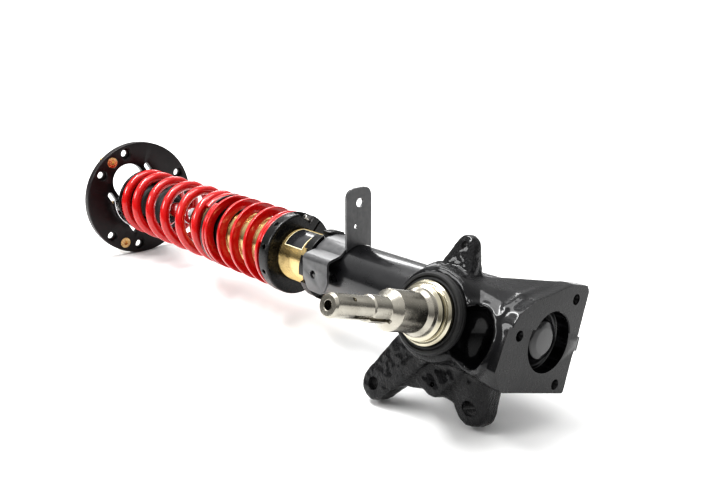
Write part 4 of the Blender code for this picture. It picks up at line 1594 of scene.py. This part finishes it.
@dataclass
class Damper:
    """Rod with its stops, gland and the threaded body."""

    shop: Shop
    pitch: float = 2.0
    root: float = 27.6
    rod_radius: float = 11.0
    stem_radius: float = 6.5
    bellows: int = 3
    label_span: Point2 = (356.5, 385.5)
    label_turn: Point2 = (-7.0, 54.0)
    label_cells: tuple[int, int] = (30, 62)
    rim: float = 1.2
    rim_turn: float = 2.4

    def build(self) -> None:
        """Build the damper's visible pieces."""
        self.rod()
        self.bump_stop()
        self.gland()
        self.body()
        self.label()

    def rod(self) -> None:
        """Chromed rod with its threaded top and its nut."""
        finishes = self.shop.finishes
        stem, rod = self.stem_radius, self.rod_radius
        profile: list[tuple[float, ...]] = [(-24, 0), (-24, 5.7, 0.4), (-23.2, stem, 0.2)]
        for i in range(9):
            x = -22.4 + 1.25 * i
            profile += [(x, 6.55, 0.05), (x + 0.62, 6.0, 0.05)]
        profile += [(-10.8, 6.6, 0.2), (8, 6.6, 0.2), (8, 8.4, 0.3), (22, 8.4, 0.3), (22, rod, 0.5),
                    (225.5, rod, 0.3), (225.5, 6, 0.2), (252, 6, 0.5), (252, 0)]
        made = solid("rod_finished", turned(profile, 0.3, 64))
        carve(made, [prism(hexagon(3.4), -26, -19)])
        self.shop.mount(made, "rod", ["piston_rod"], finishes.chrome)
        nut = TopMount.nut("rod_nut_finished", 11.5, 6.75, BALL_X - 19, BALL_X - 9.9)
        self.shop.mount(nut, "rod", ["rod_top_nut"], finishes.zinc_bolt)

    def bump_stop(self) -> None:
        """Foam stop with three bellows."""
        profile: list[tuple[float, ...]] = [(25, 11.4, 0.6), (25, 20, 1.4)]
        for i in range(self.bellows):
            x = 25 + 18 * i
            profile += [(x + 3, 22, 3.0), (x + 13, 22, 3.0), (x + 17, 18, 1.5)]
        profile += [(86, 15, 2.0), (88, 11.4, 0.8)]
        self.shop.piece(
            "bump_stop_finished",
            turned(profile, 1.0, 72),
            "rod",
            "bump_stop",
            self.shop.finishes.rubber,
        )

    def gland(self) -> None:
        """Gland nut at the body's mouth, with four pin holes in its face."""
        top = BODY_TOP
        profile = [(top - 5, 11.9, 0.4), (top - 5, 18, 0.8), (top - 3, 24.6, 0.8),
                   (top + 1, 25.1, 0.3), (top + 16, 25.1, 0.4), (top + 16, 11.9, 0.3)]
        gland = solid("gland_finished", turned(profile, 0.4, 96))
        pins = [polar(45 + 90 * i, 16.6) for i in range(4)]
        carve(gland, [bar((top - 8, y, z), (top + 2, y, z), 1.8, 20) for y, z in pins])
        ease_edges(gland, 0.2)
        self.shop.mount(gland, "threaded_body", ["gland_nut"], self.shop.finishes.tube)

    def body(self) -> None:
        """Body tube with a wound thread ridge and plain ends."""
        root, bore = self.root, 25.5
        low, high = BODY_TOP + 8, BODY_BOTTOM - 12
        section = [(BODY_BOTTOM, 0), (BODY_BOTTOM, BODY_RADIUS, 3.0), (high + 2, BODY_RADIUS, 0.2),
                   (high, root), (low, root), (low - 2, BODY_RADIUS, 0.2),
                   (BODY_TOP, BODY_RADIUS, 0.8), (BODY_TOP, bore, 0.6),
                   (BODY_BOTTOM - 5, bore, 2.0), (BODY_BOTTOM - 5, 0)]
        tube = solid("threaded_body_finished", turned(section, 0.5, 112))
        turns = (high - low - 2) / self.pitch
        ridge = Coil(low + 1, high - 1, turns, 0.0, root - 0.15, (1.0, self.pitch),
                     (1.0, self.pitch), 1.1, 1.1, sides=4, steps=48.0)
        wound = self.shop.coil("thread_ridge", ridge, self.shop.finishes.zinc)
        whole = bmesh.new()
        for part in (tube, wound):
            whole.from_mesh(part.data)
        whole.to_mesh(tube.data)
        whole.free()
        discard(wound)
        self.shop.mount(
            tube, "threaded_body", ["threaded_body"], self.shop.finishes.zinc, smooth=60.0,
        )

    def label(self) -> None:
        """Plain blank label on the body, with a thin pale border and no marks."""
        (low, high), (first, last) = self.label_span, self.label_turn
        bm = bmesh.new()
        cells_x, cells_a = self.label_cells
        grid = []
        for i in range(cells_x + 1):
            x = low + (high - low) * i / cells_x
            grid.append([bm.verts.new((x, *polar(first + (last - first) * j / cells_a,
                                                 BODY_RADIUS + 0.14)))
                         for j in range(cells_a + 1)])
        for i in range(cells_x):
            for j in range(cells_a):
                bm.faces.new((grid[i][j], grid[i + 1][j], grid[i + 1][j + 1], grid[i][j + 1]))
        label = solid("plain_label", bm)
        thick = label.modifiers.new("film", "SOLIDIFY")
        thick.thickness = 0.12
        thick.offset = 0.0
        settle(label)

        def border(centre: Vector, _normal: Vector) -> int:
            """Tell the border's faces from those inside it.

            Args:
                centre: centre of a face.
                _normal: its normal, which isn't needed.

            Returns:
                1 for a face of the border, else 0.
            """
            angle = math.degrees(math.atan2(-centre.y, centre.z))
            along = low + self.rim < centre.x < high - self.rim
            return 0 if along and first + self.rim_turn < angle < last - self.rim_turn else 1

        self.shop.mount(label, "threaded_body", [], self.shop.finishes.label,
                        self.shop.finishes.label_edge,
                        choose=border)


@dataclass
class Housing:
    """Strut tube, its lock ring and the folded hose bracket."""

    shop: Shop
    sheet: float = 2.6
    ring_radius: float = 36.5
    ring_slots: int = 8
    slot_start: float = 12.0

    def build(self) -> None:
        """Build the tube, ring and bracket."""
        self.tube()
        self.lock_ring()
        self.bracket()

    def tube(self) -> None:
        """Tube with a domed and dished end."""
        end = HOUSING_END
        section = [(end + 9.4, 0), (end + 9.0, 11, 6.0), (end + 7.4, 16.6, 3.0),
                   (end + 1.0, 19.6, 4.0), (end, 23.4, 2.5), (end + 3.5, 25.4, 1.0),
                   (end + 1.0, 25.5, 0.2), (end, HOUSING_RADIUS, 0.5),
                   (HOUSING_X, HOUSING_RADIUS, 0.8), (HOUSING_X, 28.4, 0.4), (end - 14, 28.4, 0.6),
                   (end - 14, 0)]
        tube = solid("strut_tube_finished", turned(section, 0.6, 128))
        self.shop.mount(tube, "housing", ["strut_housing"], self.shop.finishes.tube)

    def lock_ring(self) -> None:
        """Castellated ring with eight spanner slots."""
        bore = BODY_RADIUS + 0.35
        section = [(RING_X, bore, 0.4), (RING_X, self.ring_radius, 0.9),
                   (RING_X + RING_WIDTH, self.ring_radius, 0.9), (RING_X + RING_WIDTH, bore, 0.4)]
        ring = solid("lock_ring_finished", turned(section, 0.6, 112))
        cutters = []
        for i in range(self.ring_slots):
            slot = soften(
                [(-4, 32, 0.8), (4, 32, 0.8), (4, 50, 0.1), (-4, 50, 0.1)], 0.8, closed=True,
            )
            turn = Matrix.Rotation(
                math.radians(360 / self.ring_slots * i + self.slot_start), 4, "X",
            )
            cutters.append(moved(prism(slot, RING_X - 2, RING_X + 20), turn))
        carve(ring, cutters)
        ease_edges(ring, 0.35)
        self.shop.mount(ring, "lock_ring", ["lock_ring"], self.shop.finishes.collar)

    def strip(self, line: Sequence[Point2]) -> list[Point2]:
        """Give a bent line of (y, z) the sheet's thickness.

        Args:
            line: middle line of the sheet.

        Returns:
            The outline of the sheet.
        """
        sides: tuple[list[Point2], list[Point2]] = ([], [])
        for i, point in enumerate(line):
            run = Vector(line[min(i + 1, len(line) - 1)]) - Vector(line[max(i - 1, 0)])
            normal = Vector((-run.y, run.x)).normalized() * self.sheet / 2
            sides[0].append(tuple(Vector(point) + normal))
            sides[1].append(tuple(Vector(point) - normal))
        return sides[0] + list(reversed(sides[1]))

    def bracket(self) -> None:
        """Saddle on the tube with an upright ear and a folded-down ear."""
        sheet, leg = self.sheet, -39.0
        radius = HOUSING_RADIUS + 0.35 + sheet / 2
        line = [polar(-28 + 3 * i, radius) for i in range(25)]
        bend = soften([line[-1], (leg, line[-1][1] - 2.9), (leg, 2.0)], 5.0, closed=False, steps=8)
        bracket = solid("hose_bracket_finished", prism(self.strip(line[:-1] + bend), 409.4, 447.0))
        flap = soften([(409.4, 8, 0.1), (447, 8, 0.1), (447, 0, 5), (439.5, -14, 9), (417, -14, 9),
                       (409.4, 0, 5)],
                      5.0, closed=True, steps=8)
        plate = prism([(-x, z) for x, z in flap], leg - sheet / 2, leg + sheet / 2)
        # The flap is drawn across Y, then swung round so that its outline lies along X and Z.
        folded = moved(plate, Matrix.Rotation(math.radians(90), 4, "Z"))
        half, top = 16.0, 89.0
        ear = soften(
            [(half, 24, 0.1), (-half, 24, 0.1), (-half, top, 11), (half, top, 11)],
            11.0,
            closed=True,
            steps=12,
        )
        upright = prism(ear, 448.0 - sheet / 2 - 0.9, 448.0 + sheet / 2 - 0.9)
        carve(bracket, [folded, upright], "UNION")
        carve(bracket, [
            bar((400, 0, 0), (480, 0, 0), HOUSING_RADIUS + 0.35, 96),
            bar((440, 1, 74), (456, 1, 74), 4.6, 40),
            bar((440, -4, 51), (456, -4, 51), 2.4, 32),
            bar((425, leg - 8, 4), (425, leg + 8, 4), 4.2, 40),
        ])
        ease_edges(bracket, 0.35)
        self.shop.mount(bracket, "housing", ["hose_bracket"], self.shop.finishes.bracket)


@dataclass(frozen=True)
class Ear:
    """One ear of the knuckle, in the plane across the spindle, and the root it grows from."""

    x: float
    q: float
    radius: float
    near: float
    far: float
    hole: float
    root: tuple[float, float, float, float, float]

    def points(self) -> list[Vector]:
        """Return the points whose hull is the ear."""
        axis = spindle_axis()
        made: list[Vector] = []
        for reach in (self.near, self.far):
            made += circle_points(on_spindle(reach, self.x, self.q), axis, self.radius, 32)
        x, q, radius, near, far = self.root
        for reach in (near, far):
            made += circle_points(on_spindle(reach, x, q), axis, radius, 32)
        return made


@dataclass
class Knuckle:
    """Casting on the tube's end, with the stub axle and the seal ring."""

    shop: Shop
    voxel: float = 1.5
    hub_radius: float = 40.0
    outline: tuple[Point2, ...] = (
        (-38.0, -42.0), (47.0, -43.0), (60.0, -27.0), (58.0, -8.0), (56.0, 11.0), (50.0, 22.0),
        (33.0, 33.0), (13.0, 40.0), (-12.0, 50.0), (-33.0, 51.0), (-37.5, 47.0),
    )
    holes: tuple[Point2, ...] = ((-21.0, 38.0), (-23.5, -34.5), (40.0, 3.0))
    tab: tuple[Point2, ...] = ((-43.5, -5.0), (-43.5, 7.0), (-34.0, 7.0), (-34.0, -5.0))
    ears: tuple[Ear, ...] = (
        Ear(-54.0, -77.18, 14.6, 30.0, 49.0, 5.8, (-14.0, -26.0, 20.0, 32.0, 54.0)),
        Ear(36.0, -68.39, 15.6, 13.4, 30.4, 6.6, (22.0, -24.0, 27.0, 14.0, 42.0)),
        Ear(3.0, 60.0, 9.5, 37.0, 47.0, 3.0, (2.0, 26.0, 20.0, 34.0, 54.0)),
        Ear(3.0, -59.0, 11.0, 34.0, 45.0, 2.2, (0.0, -30.0, 30.0, 28.0, 46.0)),
    )
    skirts: tuple[tuple[tuple[float, ...], ...], ...] = (
        ((-44.0, -66.0, 8.0, 34.0, 45.0), (1.0, -57.0, 8.0, 34.0, 43.0),
         (-14.0, -30.0, 14.0, 34.0, 48.0)),
        ((3.0, -57.0, 8.0, 32.0, 43.0), (27.0, -62.0, 8.0, 20.0, 32.0),
         (12.0, -30.0, 16.0, 24.0, 42.0)),
    )
    pocket: Point3 = (44.0, 58.0, -8.0)
    pocket_size: Point3 = (19.0, 22.0, 24.5)
    mouth: Point2 = (20.5, 26.5)
    mouth_turn: float = 128.0
    tapped_radius: float = 4.7
    tapped_pitch: float = 1.25
    skin_depth: float = 0.08
    ear_depth: float = 0.62
    back: float = FLANGE_BACK - SPINDLE_X
    front: float = FLANGE_FRONT - SPINDLE_X

    def build(self) -> None:
        """Build the casting, axle and seal."""
        self.casting()
        self.axle()
        self.seal()

    def rough_mask(self, spot: Vector) -> float:
        """Say how rough the casting is at a point of its own frame: 1 on the ears, 0 on the web.

        Args:
            spot: a point in the knuckle's own axes.

        Returns:
            The share of roughness.
        """
        ear = max(0.0, min(1.0, (-spot.z - 30.0) / 14.0)) if spot.x < 56 else 0.0
        top = max(0.0, min(1.0, (spot.z - 30.0) / 12.0)) if spot.x < 26 else 0.0
        side = max(0.0, min(1.0, (-spot.x - 24.0) / 12.0))
        return max(ear, top, side) * (1.0 if spot.x < 50 else 0.4)

    def blank(self) -> Piece:
        """Grow the casting's rounded body from its hulls, with its pocket.

        Returns:
            The smoothed casting, in its own frame.
        """
        back, front = self.back, self.front
        collar = lathe([(-54, 0), (-54, 37), (-51, 39.2), (back + 2, 39.2), (back + 2, 0)], 64)
        flange = prism(self.outline, back, front + 2)
        tab = prism(self.tab, front - 9, front - 1.5)
        axis = spindle_axis()
        boss = circle_points(on_spindle(20), axis, self.hub_radius + 2, 64)
        boss += circle_points(on_spindle(HUB_FACE - 3.5), axis, self.hub_radius, 64)
        boss += circle_points(on_spindle(HUB_FACE + 0.6), axis, self.hub_radius - 2.0, 64)
        web = circle_points(
            on_spindle(10), axis, 30, 32,
        ) + circle_points(on_spindle(50), axis, 34, 32)
        for p, q in self.outline:
            web.append(Vector((back - 6, p * 0.88, q * 0.88)))
            web.append(Vector((back + 4, p, q)))
        parts = [
            collar, flange, tab, hull(boss), hull(web),
        ] + [hull(ear.points()) for ear in self.ears]
        for spots in self.skirts:
            points: list[Vector] = []
            for x, q, radius, near, far in spots:
                for reach in (near, far):
                    points += circle_points(on_spindle(reach, x, q), axis, radius, 24)
            parts.append(hull(points))
        casting = solid("knuckle_finished", merged(parts))
        self.remesh(casting)
        self.raise_beads(casting)
        self.remesh(casting)
        pocket = bmesh.new()
        bmesh.ops.create_uvsphere(pocket, u_segments=48, v_segments=32, radius=1.0)
        bmesh.ops.scale(pocket, vec=self.pocket_size, verts=pocket.verts)
        carve(casting, [moved(pocket, Matrix.Translation(self.pocket))])
        self.remesh(casting)
        change = casting.modifiers.new("rounded", "SMOOTH")
        change.factor = 0.5
        change.iterations = 10
        return settle(casting)

    def raise_beads(self, casting: Piece) -> None:
        """Lay a raised bead round the pocket's mouth and one along the flange's upper edge.

        Args:
            casting: the blank casting, which gets the beads as extra shells.
        """
        bpy.context.view_layer.update()
        spots: list[tuple[Vector, float]] = []
        for i in range(45):
            turn = math.radians(-self.mouth_turn + 2 * self.mouth_turn * i / 44)
            x = self.pocket[0] + 1.0 + self.mouth[0] * math.cos(turn)
            q = self.pocket[2] + self.mouth[1] * math.sin(turn)
            hit, spot, _, _ = casting.ray_cast(Vector((x, 140, q)), Vector((0, -1, 0)))
            if hit:
                thick = 4.6 - 1.6 * abs(turn) / math.radians(self.mouth_turn)
                spots.append((spot + Vector((0, -0.35 * thick, 0)), thick))
        rail = [Vector((self.back - 1, p, q)) for p, q in
                ((52.0, 14.0), (48.5, 21.0), (33.0, 31.5), (13.0, 38.5), (-8.0, 46.5))]
        for start, end in zip(rail, rail[1:]):
            for step in range(8):
                spot = start.lerp(end, step / 8)
                spots.append((spot, 4.2 - 1.6 * (50 - spot.y) / 60))
        beads = bmesh.new()
        beads.from_mesh(casting.data)
        for spot, thick in spots:
            place = Matrix.Translation(spot) @ Matrix.Scale(thick, 4)
            bmesh.ops.create_icosphere(beads, subdivisions=2, radius=1.0, matrix=place)
        beads.to_mesh(casting.data)
        beads.free()

    def remesh(self, thing: Piece) -> None:
        """Turn overlapping shells into one even skin.

        Args:
            thing: the shells.
        """
        change = thing.modifiers.new("skin", "REMESH")
        change.mode = "VOXEL"
        change.voxel_size = self.voxel
        change.adaptivity = 0.0
        settle(thing)

    def hammer(self, casting: Piece) -> None:
        """Move the skin in and out as a sand casting's does, most on the ears.

        Args:
            casting: the smoothed casting.
        """
        mesh = casting.data
        normals = [normal.vector.copy() for normal in mesh.vertex_normals]
        moved_to: list[float] = []
        for vertex, normal in zip(mesh.vertices, normals):
            spot = vertex.co
            rough = self.rough_mask(spot)
            depth = self.skin_depth + self.ear_depth * rough
            wave = noise.noise(spot / 9.0) * 0.7 + noise.noise(spot / 4.0) * 0.6
            moved_to += (spot + normal * (wave * depth - 0.12 - 0.13 * rough))[:]
        mesh.vertices.foreach_set("co", moved_to)
        mesh.update()

    def casting(self) -> None:
        """Finish the casting: machined faces, holes and bores."""
        casting = self.blank()
        self.hammer(casting)
        front, back = self.front, self.back
        plane = prism([(-120, -120), (120, -120), (120, 120), (-120, 120)], front, front + 12)
        ramp = [
            (front - 3, 80), (front - 3, 27.5), (front - 0.15, -48), (front + 4, -48),
            (front + 4, 80),
        ]
        step = hull([(x, p, q) for x, p in ramp for q in (-60, 9.5)])
        carve(casting, [prism(self.tab, front - 9, front - 1.5)], "UNION")
        carve(casting, [plane, step])
        bore = HOUSING_RADIUS + 0.4
        socket = lathe([(-80, 0), (-80, bore), (back, bore), (back, 0)], 96)
        mouth = [(back - 5, 0), (back - 5, 25.7), (front - 0.8, 25.7), (front + 1.4, 28.0),
                 (front + 1.4, 0)]
        carve(casting, [socket, turned(mouth, 0.05, 96)])
        drills = [bar(on_spindle(20), on_spindle(HUB_FACE + 10), 20.2, 64)]
        for ear in self.ears:
            start = on_spindle(ear.near - 12, ear.x, ear.q)
            drills.append(bar(start, on_spindle(ear.far + 10, ear.x, ear.q), ear.hole, 40))
        for p, q in self.holes:
            ends = (front - 24, p, q), (front + 0.5, p, q)
            drills.append(tapped(*ends, self.tapped_radius, self.tapped_pitch))
        carve(casting, [merged(drills)])
        grain = casting.data.attributes.new("cast_grain", "FLOAT", "POINT")
        values = [0.06 + 0.94 * self.rough_mask(vertex.co) for vertex in casting.data.vertices]
        grain.data.foreach_set("value", values)
        casting.data.transform(knuckle_frame())

        def machined(centre: Vector, normal: Vector) -> int:
            """Return 1 for the flange's machined face."""
            return 1 if normal.x > 0.97 and centre.x > FLANGE_FRONT - 3.4 else 0

        finishes = self.shop.finishes
        self.shop.mount(casting, "housing", ["knuckle"], finishes.casting, finishes.machined_black,
                        choose=machined, smooth=42.0)

    def axle(self) -> None:
        """Stub axle with stepped seats, a cross hole, a keyway and a centre bore."""
        hub, tip = HUB_FACE, SPINDLE_TIP
        profile = [
            (hub - 26, 0), (hub - 26, 19.9, 0.5), (hub + 0.4, 19.9, 0.3), (hub + 0.4, 26.7, 0.4),
            (hub + 10, 26.7, 1.2), (hub + 12, 25.0, 0.8), (hub + 12, 22.8, 0.5),
            (hub + 17, 22.8, 0.8), (hub + 19, 20, 1.0), (hub + 23, 19.4, 1.2),
            (hub + 27, 16.5, 2.0), (tip - 67, 16.5, 0.3), (tip - 66, 15.8, 0.5),
            (tip - 60, 10.6, 1.5), (tip - 42, 10.6, 0.4), (tip - 41, 9.3, 0.4), (tip - 2, 9.3, 0.8),
            (tip, 7.9, 0.5), (tip, 3.6, 0.4), (tip - 14, 3.6, 0.3), (tip - 16, 0),
        ]
        axle = solid("stub_axle_finished", moved(turned(profile, 0.4, 112), spindle_matrix()))
        frame = knuckle_frame()
        middle = on_spindle(tip - 20)
        hole = bar(middle + Vector((0, 0, -20)), middle + Vector((0, 0, 20)), 1.9, 28)
        hole = moved(hole, Matrix.Rotation(math.radians(40), 4, spindle_axis()))
        side = on_spindle(1) - on_spindle(0)
        key = bmesh.new()
        bmesh.ops.create_cube(key, size=1.0)
        bmesh.ops.scale(key, vec=(3.6, 40, 6), verts=key.verts)
        turn = Matrix.Rotation(math.radians(-SPINDLE_RAKE), 4, "Z")
        spin = Matrix.Rotation(math.radians(128), 4, side)
        place = Matrix.Translation(on_spindle(tip - 42)) @ spin @ turn
        place = place @ Matrix.Translation((0, 0, 10.6))
        carve(axle, [moved(hole, frame), moved(key, frame @ place)])
        ease_edges(axle, 0.18)
        back = spindle_matrix().inverted()

        def seat(centre: Vector, _normal: Vector) -> int:
            """Return 1 for the ground seat next to the hub face."""
            return 1 if (back @ centre).x < HUB_FACE + 18.5 else 0

        finishes = self.shop.finishes
        self.shop.mount(
            axle, "housing", ["stub_axle"], finishes.axle, finishes.axle_seat, choose=seat,
        )

    def seal(self) -> None:
        """Wiping ring round the axle's seat, with two lips."""
        near = HUB_FACE + 0.4
        profile = [(near, 27.1, 0.2), (near, 34.0, 0.5), (near + 3.2, 34.0, 0.3),
                   (near + 3.6, 33.4, 0.2), (near + 5, 33.6, 0.4), (near + 7, 32.2, 0.6),
                   (near + 7, 30.4, 0.3), (near + 5.4, 29.6, 0.3), (near + 6.6, 28.6, 0.3),
                   (near + 6.8, 27.1, 0.3)]
        seal = solid("seal_ring_finished", moved(turned(profile, 0.3, 96), spindle_matrix()))
        self.shop.mount(seal, "housing", ["hub_seal_ring"], self.shop.finishes.rubber)


# ---------------------------------------------------------------------------------------------
# Studio


@dataclass(frozen=True)
class SoftBox:
    """One soft box: where it hangs and what it faces, in metres, its size and its watts."""

    name: str
    spot: Point3
    aim: Point3
    size: Point2
    power: float

    def hang(self) -> None:
        """Hang the box."""
        data = bpy.data.lights.new(self.name, "AREA")
        data.shape = "RECTANGLE"
        data.size, data.size_y = self.size
        data.energy = self.power
        lamp = bpy.data.objects.new(self.name, data)
        lamp.location = self.spot
        lamp.rotation_mode = "QUATERNION"
        facing = Vector(self.aim) - Vector(self.spot)
        lamp.rotation_quaternion = facing.to_track_quat("-Z", "Y")
        bpy.context.scene.collection.objects.link(lamp)


@dataclass
class Studio:
    """Floor, lights, sky and camera."""

    shop: Shop
    lens: float = 42.5
    stand: Point3 = (1045.5, -534.0, 268.8)
    aim: Point3 = (-0.71565, 0.64125, -0.27681)
    dim: float = 0.1
    overhead: float = 0.8
    rear: float = 0.12
    white: float = 1.1
    floor_rings: tuple[float, ...] = (0.5, 1.0, 1.6)
    glow: float = 0.45
    boxes: tuple[SoftBox, ...] = (
        SoftBox("overhead_box", (-0.1, 0.1, 1.5), (0.0, 0.0, 0.0), (1.3, 0.7), 12.0),
        SoftBox("strip_box", (-0.25, -0.35, 1.3), (0.0, 0.0, 0.05), (1.0, 0.16), 9.0),
        SoftBox("side_box", (-0.6, -1.6, 1.2), (0.05, 0.0, 0.05), (0.9, 0.6), 14.0),
        SoftBox("rear_box", (-1.4, 1.3, 1.3), (0.0, 0.0, 0.05), (1.0, 0.4), 6.0),
    )

    def build(self) -> None:
        """Build the stage."""
        self.floor()
        self.sky()
        self.lights()
        self.camera()

    def floor(self) -> None:
        """Lay a wide round pale floor."""
        bm = bmesh.new()
        turns = [2 * math.pi * i / 96 for i in range(96)]
        rings = []
        for r in self.floor_rings:
            rings.append(
                [bm.verts.new((r * math.cos(t) - 0.1, r * math.sin(t) + 0.1, 0.0)) for t in turns]
            )
        bm.faces.new(rings[0])
        join_rings(bm, rings, closed=False)
        mesh = bpy.data.meshes.new("studio_floor")
        bm.to_mesh(mesh)
        bm.free()
        mesh.shade_smooth()
        mesh.materials.append(self.shop.finishes.floor.build())
        self.fade(mesh.materials[0])
        thing = bpy.data.objects.new("studio_floor", mesh)
        bpy.context.scene.collection.objects.link(thing)

    def fade(self, material: Material) -> None:
        """Let the floor glow towards its rim, so that its edge melts into the white behind.

        Args:
            material: the floor's material.
        """
        work = Wiring(material.node_tree)
        length = work.add("ShaderNodeVectorMath", operation="LENGTH")
        work.link(work.add("ShaderNodeTexCoord").outputs["Object"], length.inputs[0])
        shader = work.tree.nodes["Principled BSDF"]
        shader.inputs["Emission Color"].default_value = (1, 1, 1, 1)
        glow = work.remap(length.outputs["Value"], (0.7, 1.5), (0.0, self.glow))
        work.link(glow, shader.inputs["Emission Strength"])

    def sky(self) -> None:
        """Fill the room with soft light: white overhead and behind, dim in front."""
        world = bpy.data.worlds.new("studio_light")
        world.use_nodes = True
        work = Wiring(world.node_tree)
        back = work.tree.nodes["Background"]
        back.inputs["Color"].default_value = (1.0, 1.0, 1.0, 1)
        ray = work.add("ShaderNodeTexCoord").outputs["Generated"]
        split = work.add("ShaderNodeSeparateXYZ")
        work.link(ray, split.inputs[0])
        behind = work.add("ShaderNodeVectorMath", operation="DOT_PRODUCT")
        behind.inputs[1].default_value = (-0.745, 0.667, 0.0)
        work.link(ray, behind.inputs[0])
        above = work.remap(split.outputs["Z"], (0.05, 0.75), (self.dim, self.overhead))
        far = work.remap(behind.outputs["Value"], (0.1, 0.9), (0.0, self.rear))
        below = work.remap(split.outputs["Z"], (-0.003, 0.0), (self.white, 0.0))
        camera_ray = work.add("ShaderNodeLightPath").outputs["Is Camera Ray"]
        seen = work.remap(camera_ray, (0.0, 1.0), (0.0, self.white))
        lit = work.math("MAXIMUM", work.math("ADD", above, far), below)
        work.link(work.math("MAXIMUM", lit, seen), back.inputs["Strength"])
        bpy.context.scene.world = world

    def lights(self) -> None:
        """Hang the soft boxes."""
        for box in self.boxes:
            box.hang()

    def camera(self) -> None:
        """Stand the camera where the strut runs away to the upper left."""
        data = bpy.data.cameras.new("studio_camera")
        data.lens = self.lens
        data.sensor_width = 36.0
        data.clip_start, data.clip_end = 0.05, 60.0
        camera = bpy.data.objects.new("studio_camera", data)
        camera.location = self.shop.axis.place(*self.stand)
        camera.rotation_mode = "QUATERNION"
        camera.rotation_quaternion = Vector(self.aim).to_track_quat("-Z", "Y")
        bpy.context.scene.collection.objects.link(camera)
        bpy.context.scene.camera = camera
        bpy.context.scene.view_settings.view_transform = "Standard"
        bpy.context.scene.view_settings.look = "High Contrast"


def dress_cad_nodes(frame: dict, finishes: Finishes) -> None:
    """Give every CAD node its slot's procedural finish.

    Args:
        finishes: the strut's finishes.
    """
    chosen = finishes.by_slot()
    slots = {entry["node"]: entry["material_slot"] for entry in frame["record"]["subparts"]}
    for name, node in frame["nodes"].items():
        finish = chosen[slots.get(name, "steel")]
        if not node.data.materials:
            node.data.materials.append(finish.build())
        for place in node.material_slots:
            place.material = finish.build()


def main() -> None:
    """Load the frame, build every sub-assembly and the stage, and log each one as it is built."""
    logging.basicConfig(level=logging.INFO, format="%(asctime)s %(name)s: %(message)s", force=True)
    for thing in list(bpy.data.objects):
        bpy.data.objects.remove(thing)
    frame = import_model()
    finishes = Finishes()
    shop = Shop(StrutAxis.from_plate(), finishes)
    dress_cad_nodes(frame, finishes)
    for group in (TopMount, Springs, Damper, Housing, Knuckle, Studio):
        group(shop).build()
        LOG.info("%s built", group.__name__)
    bpy.context.view_layer.update()


if __name__ == "__main__":
    main()
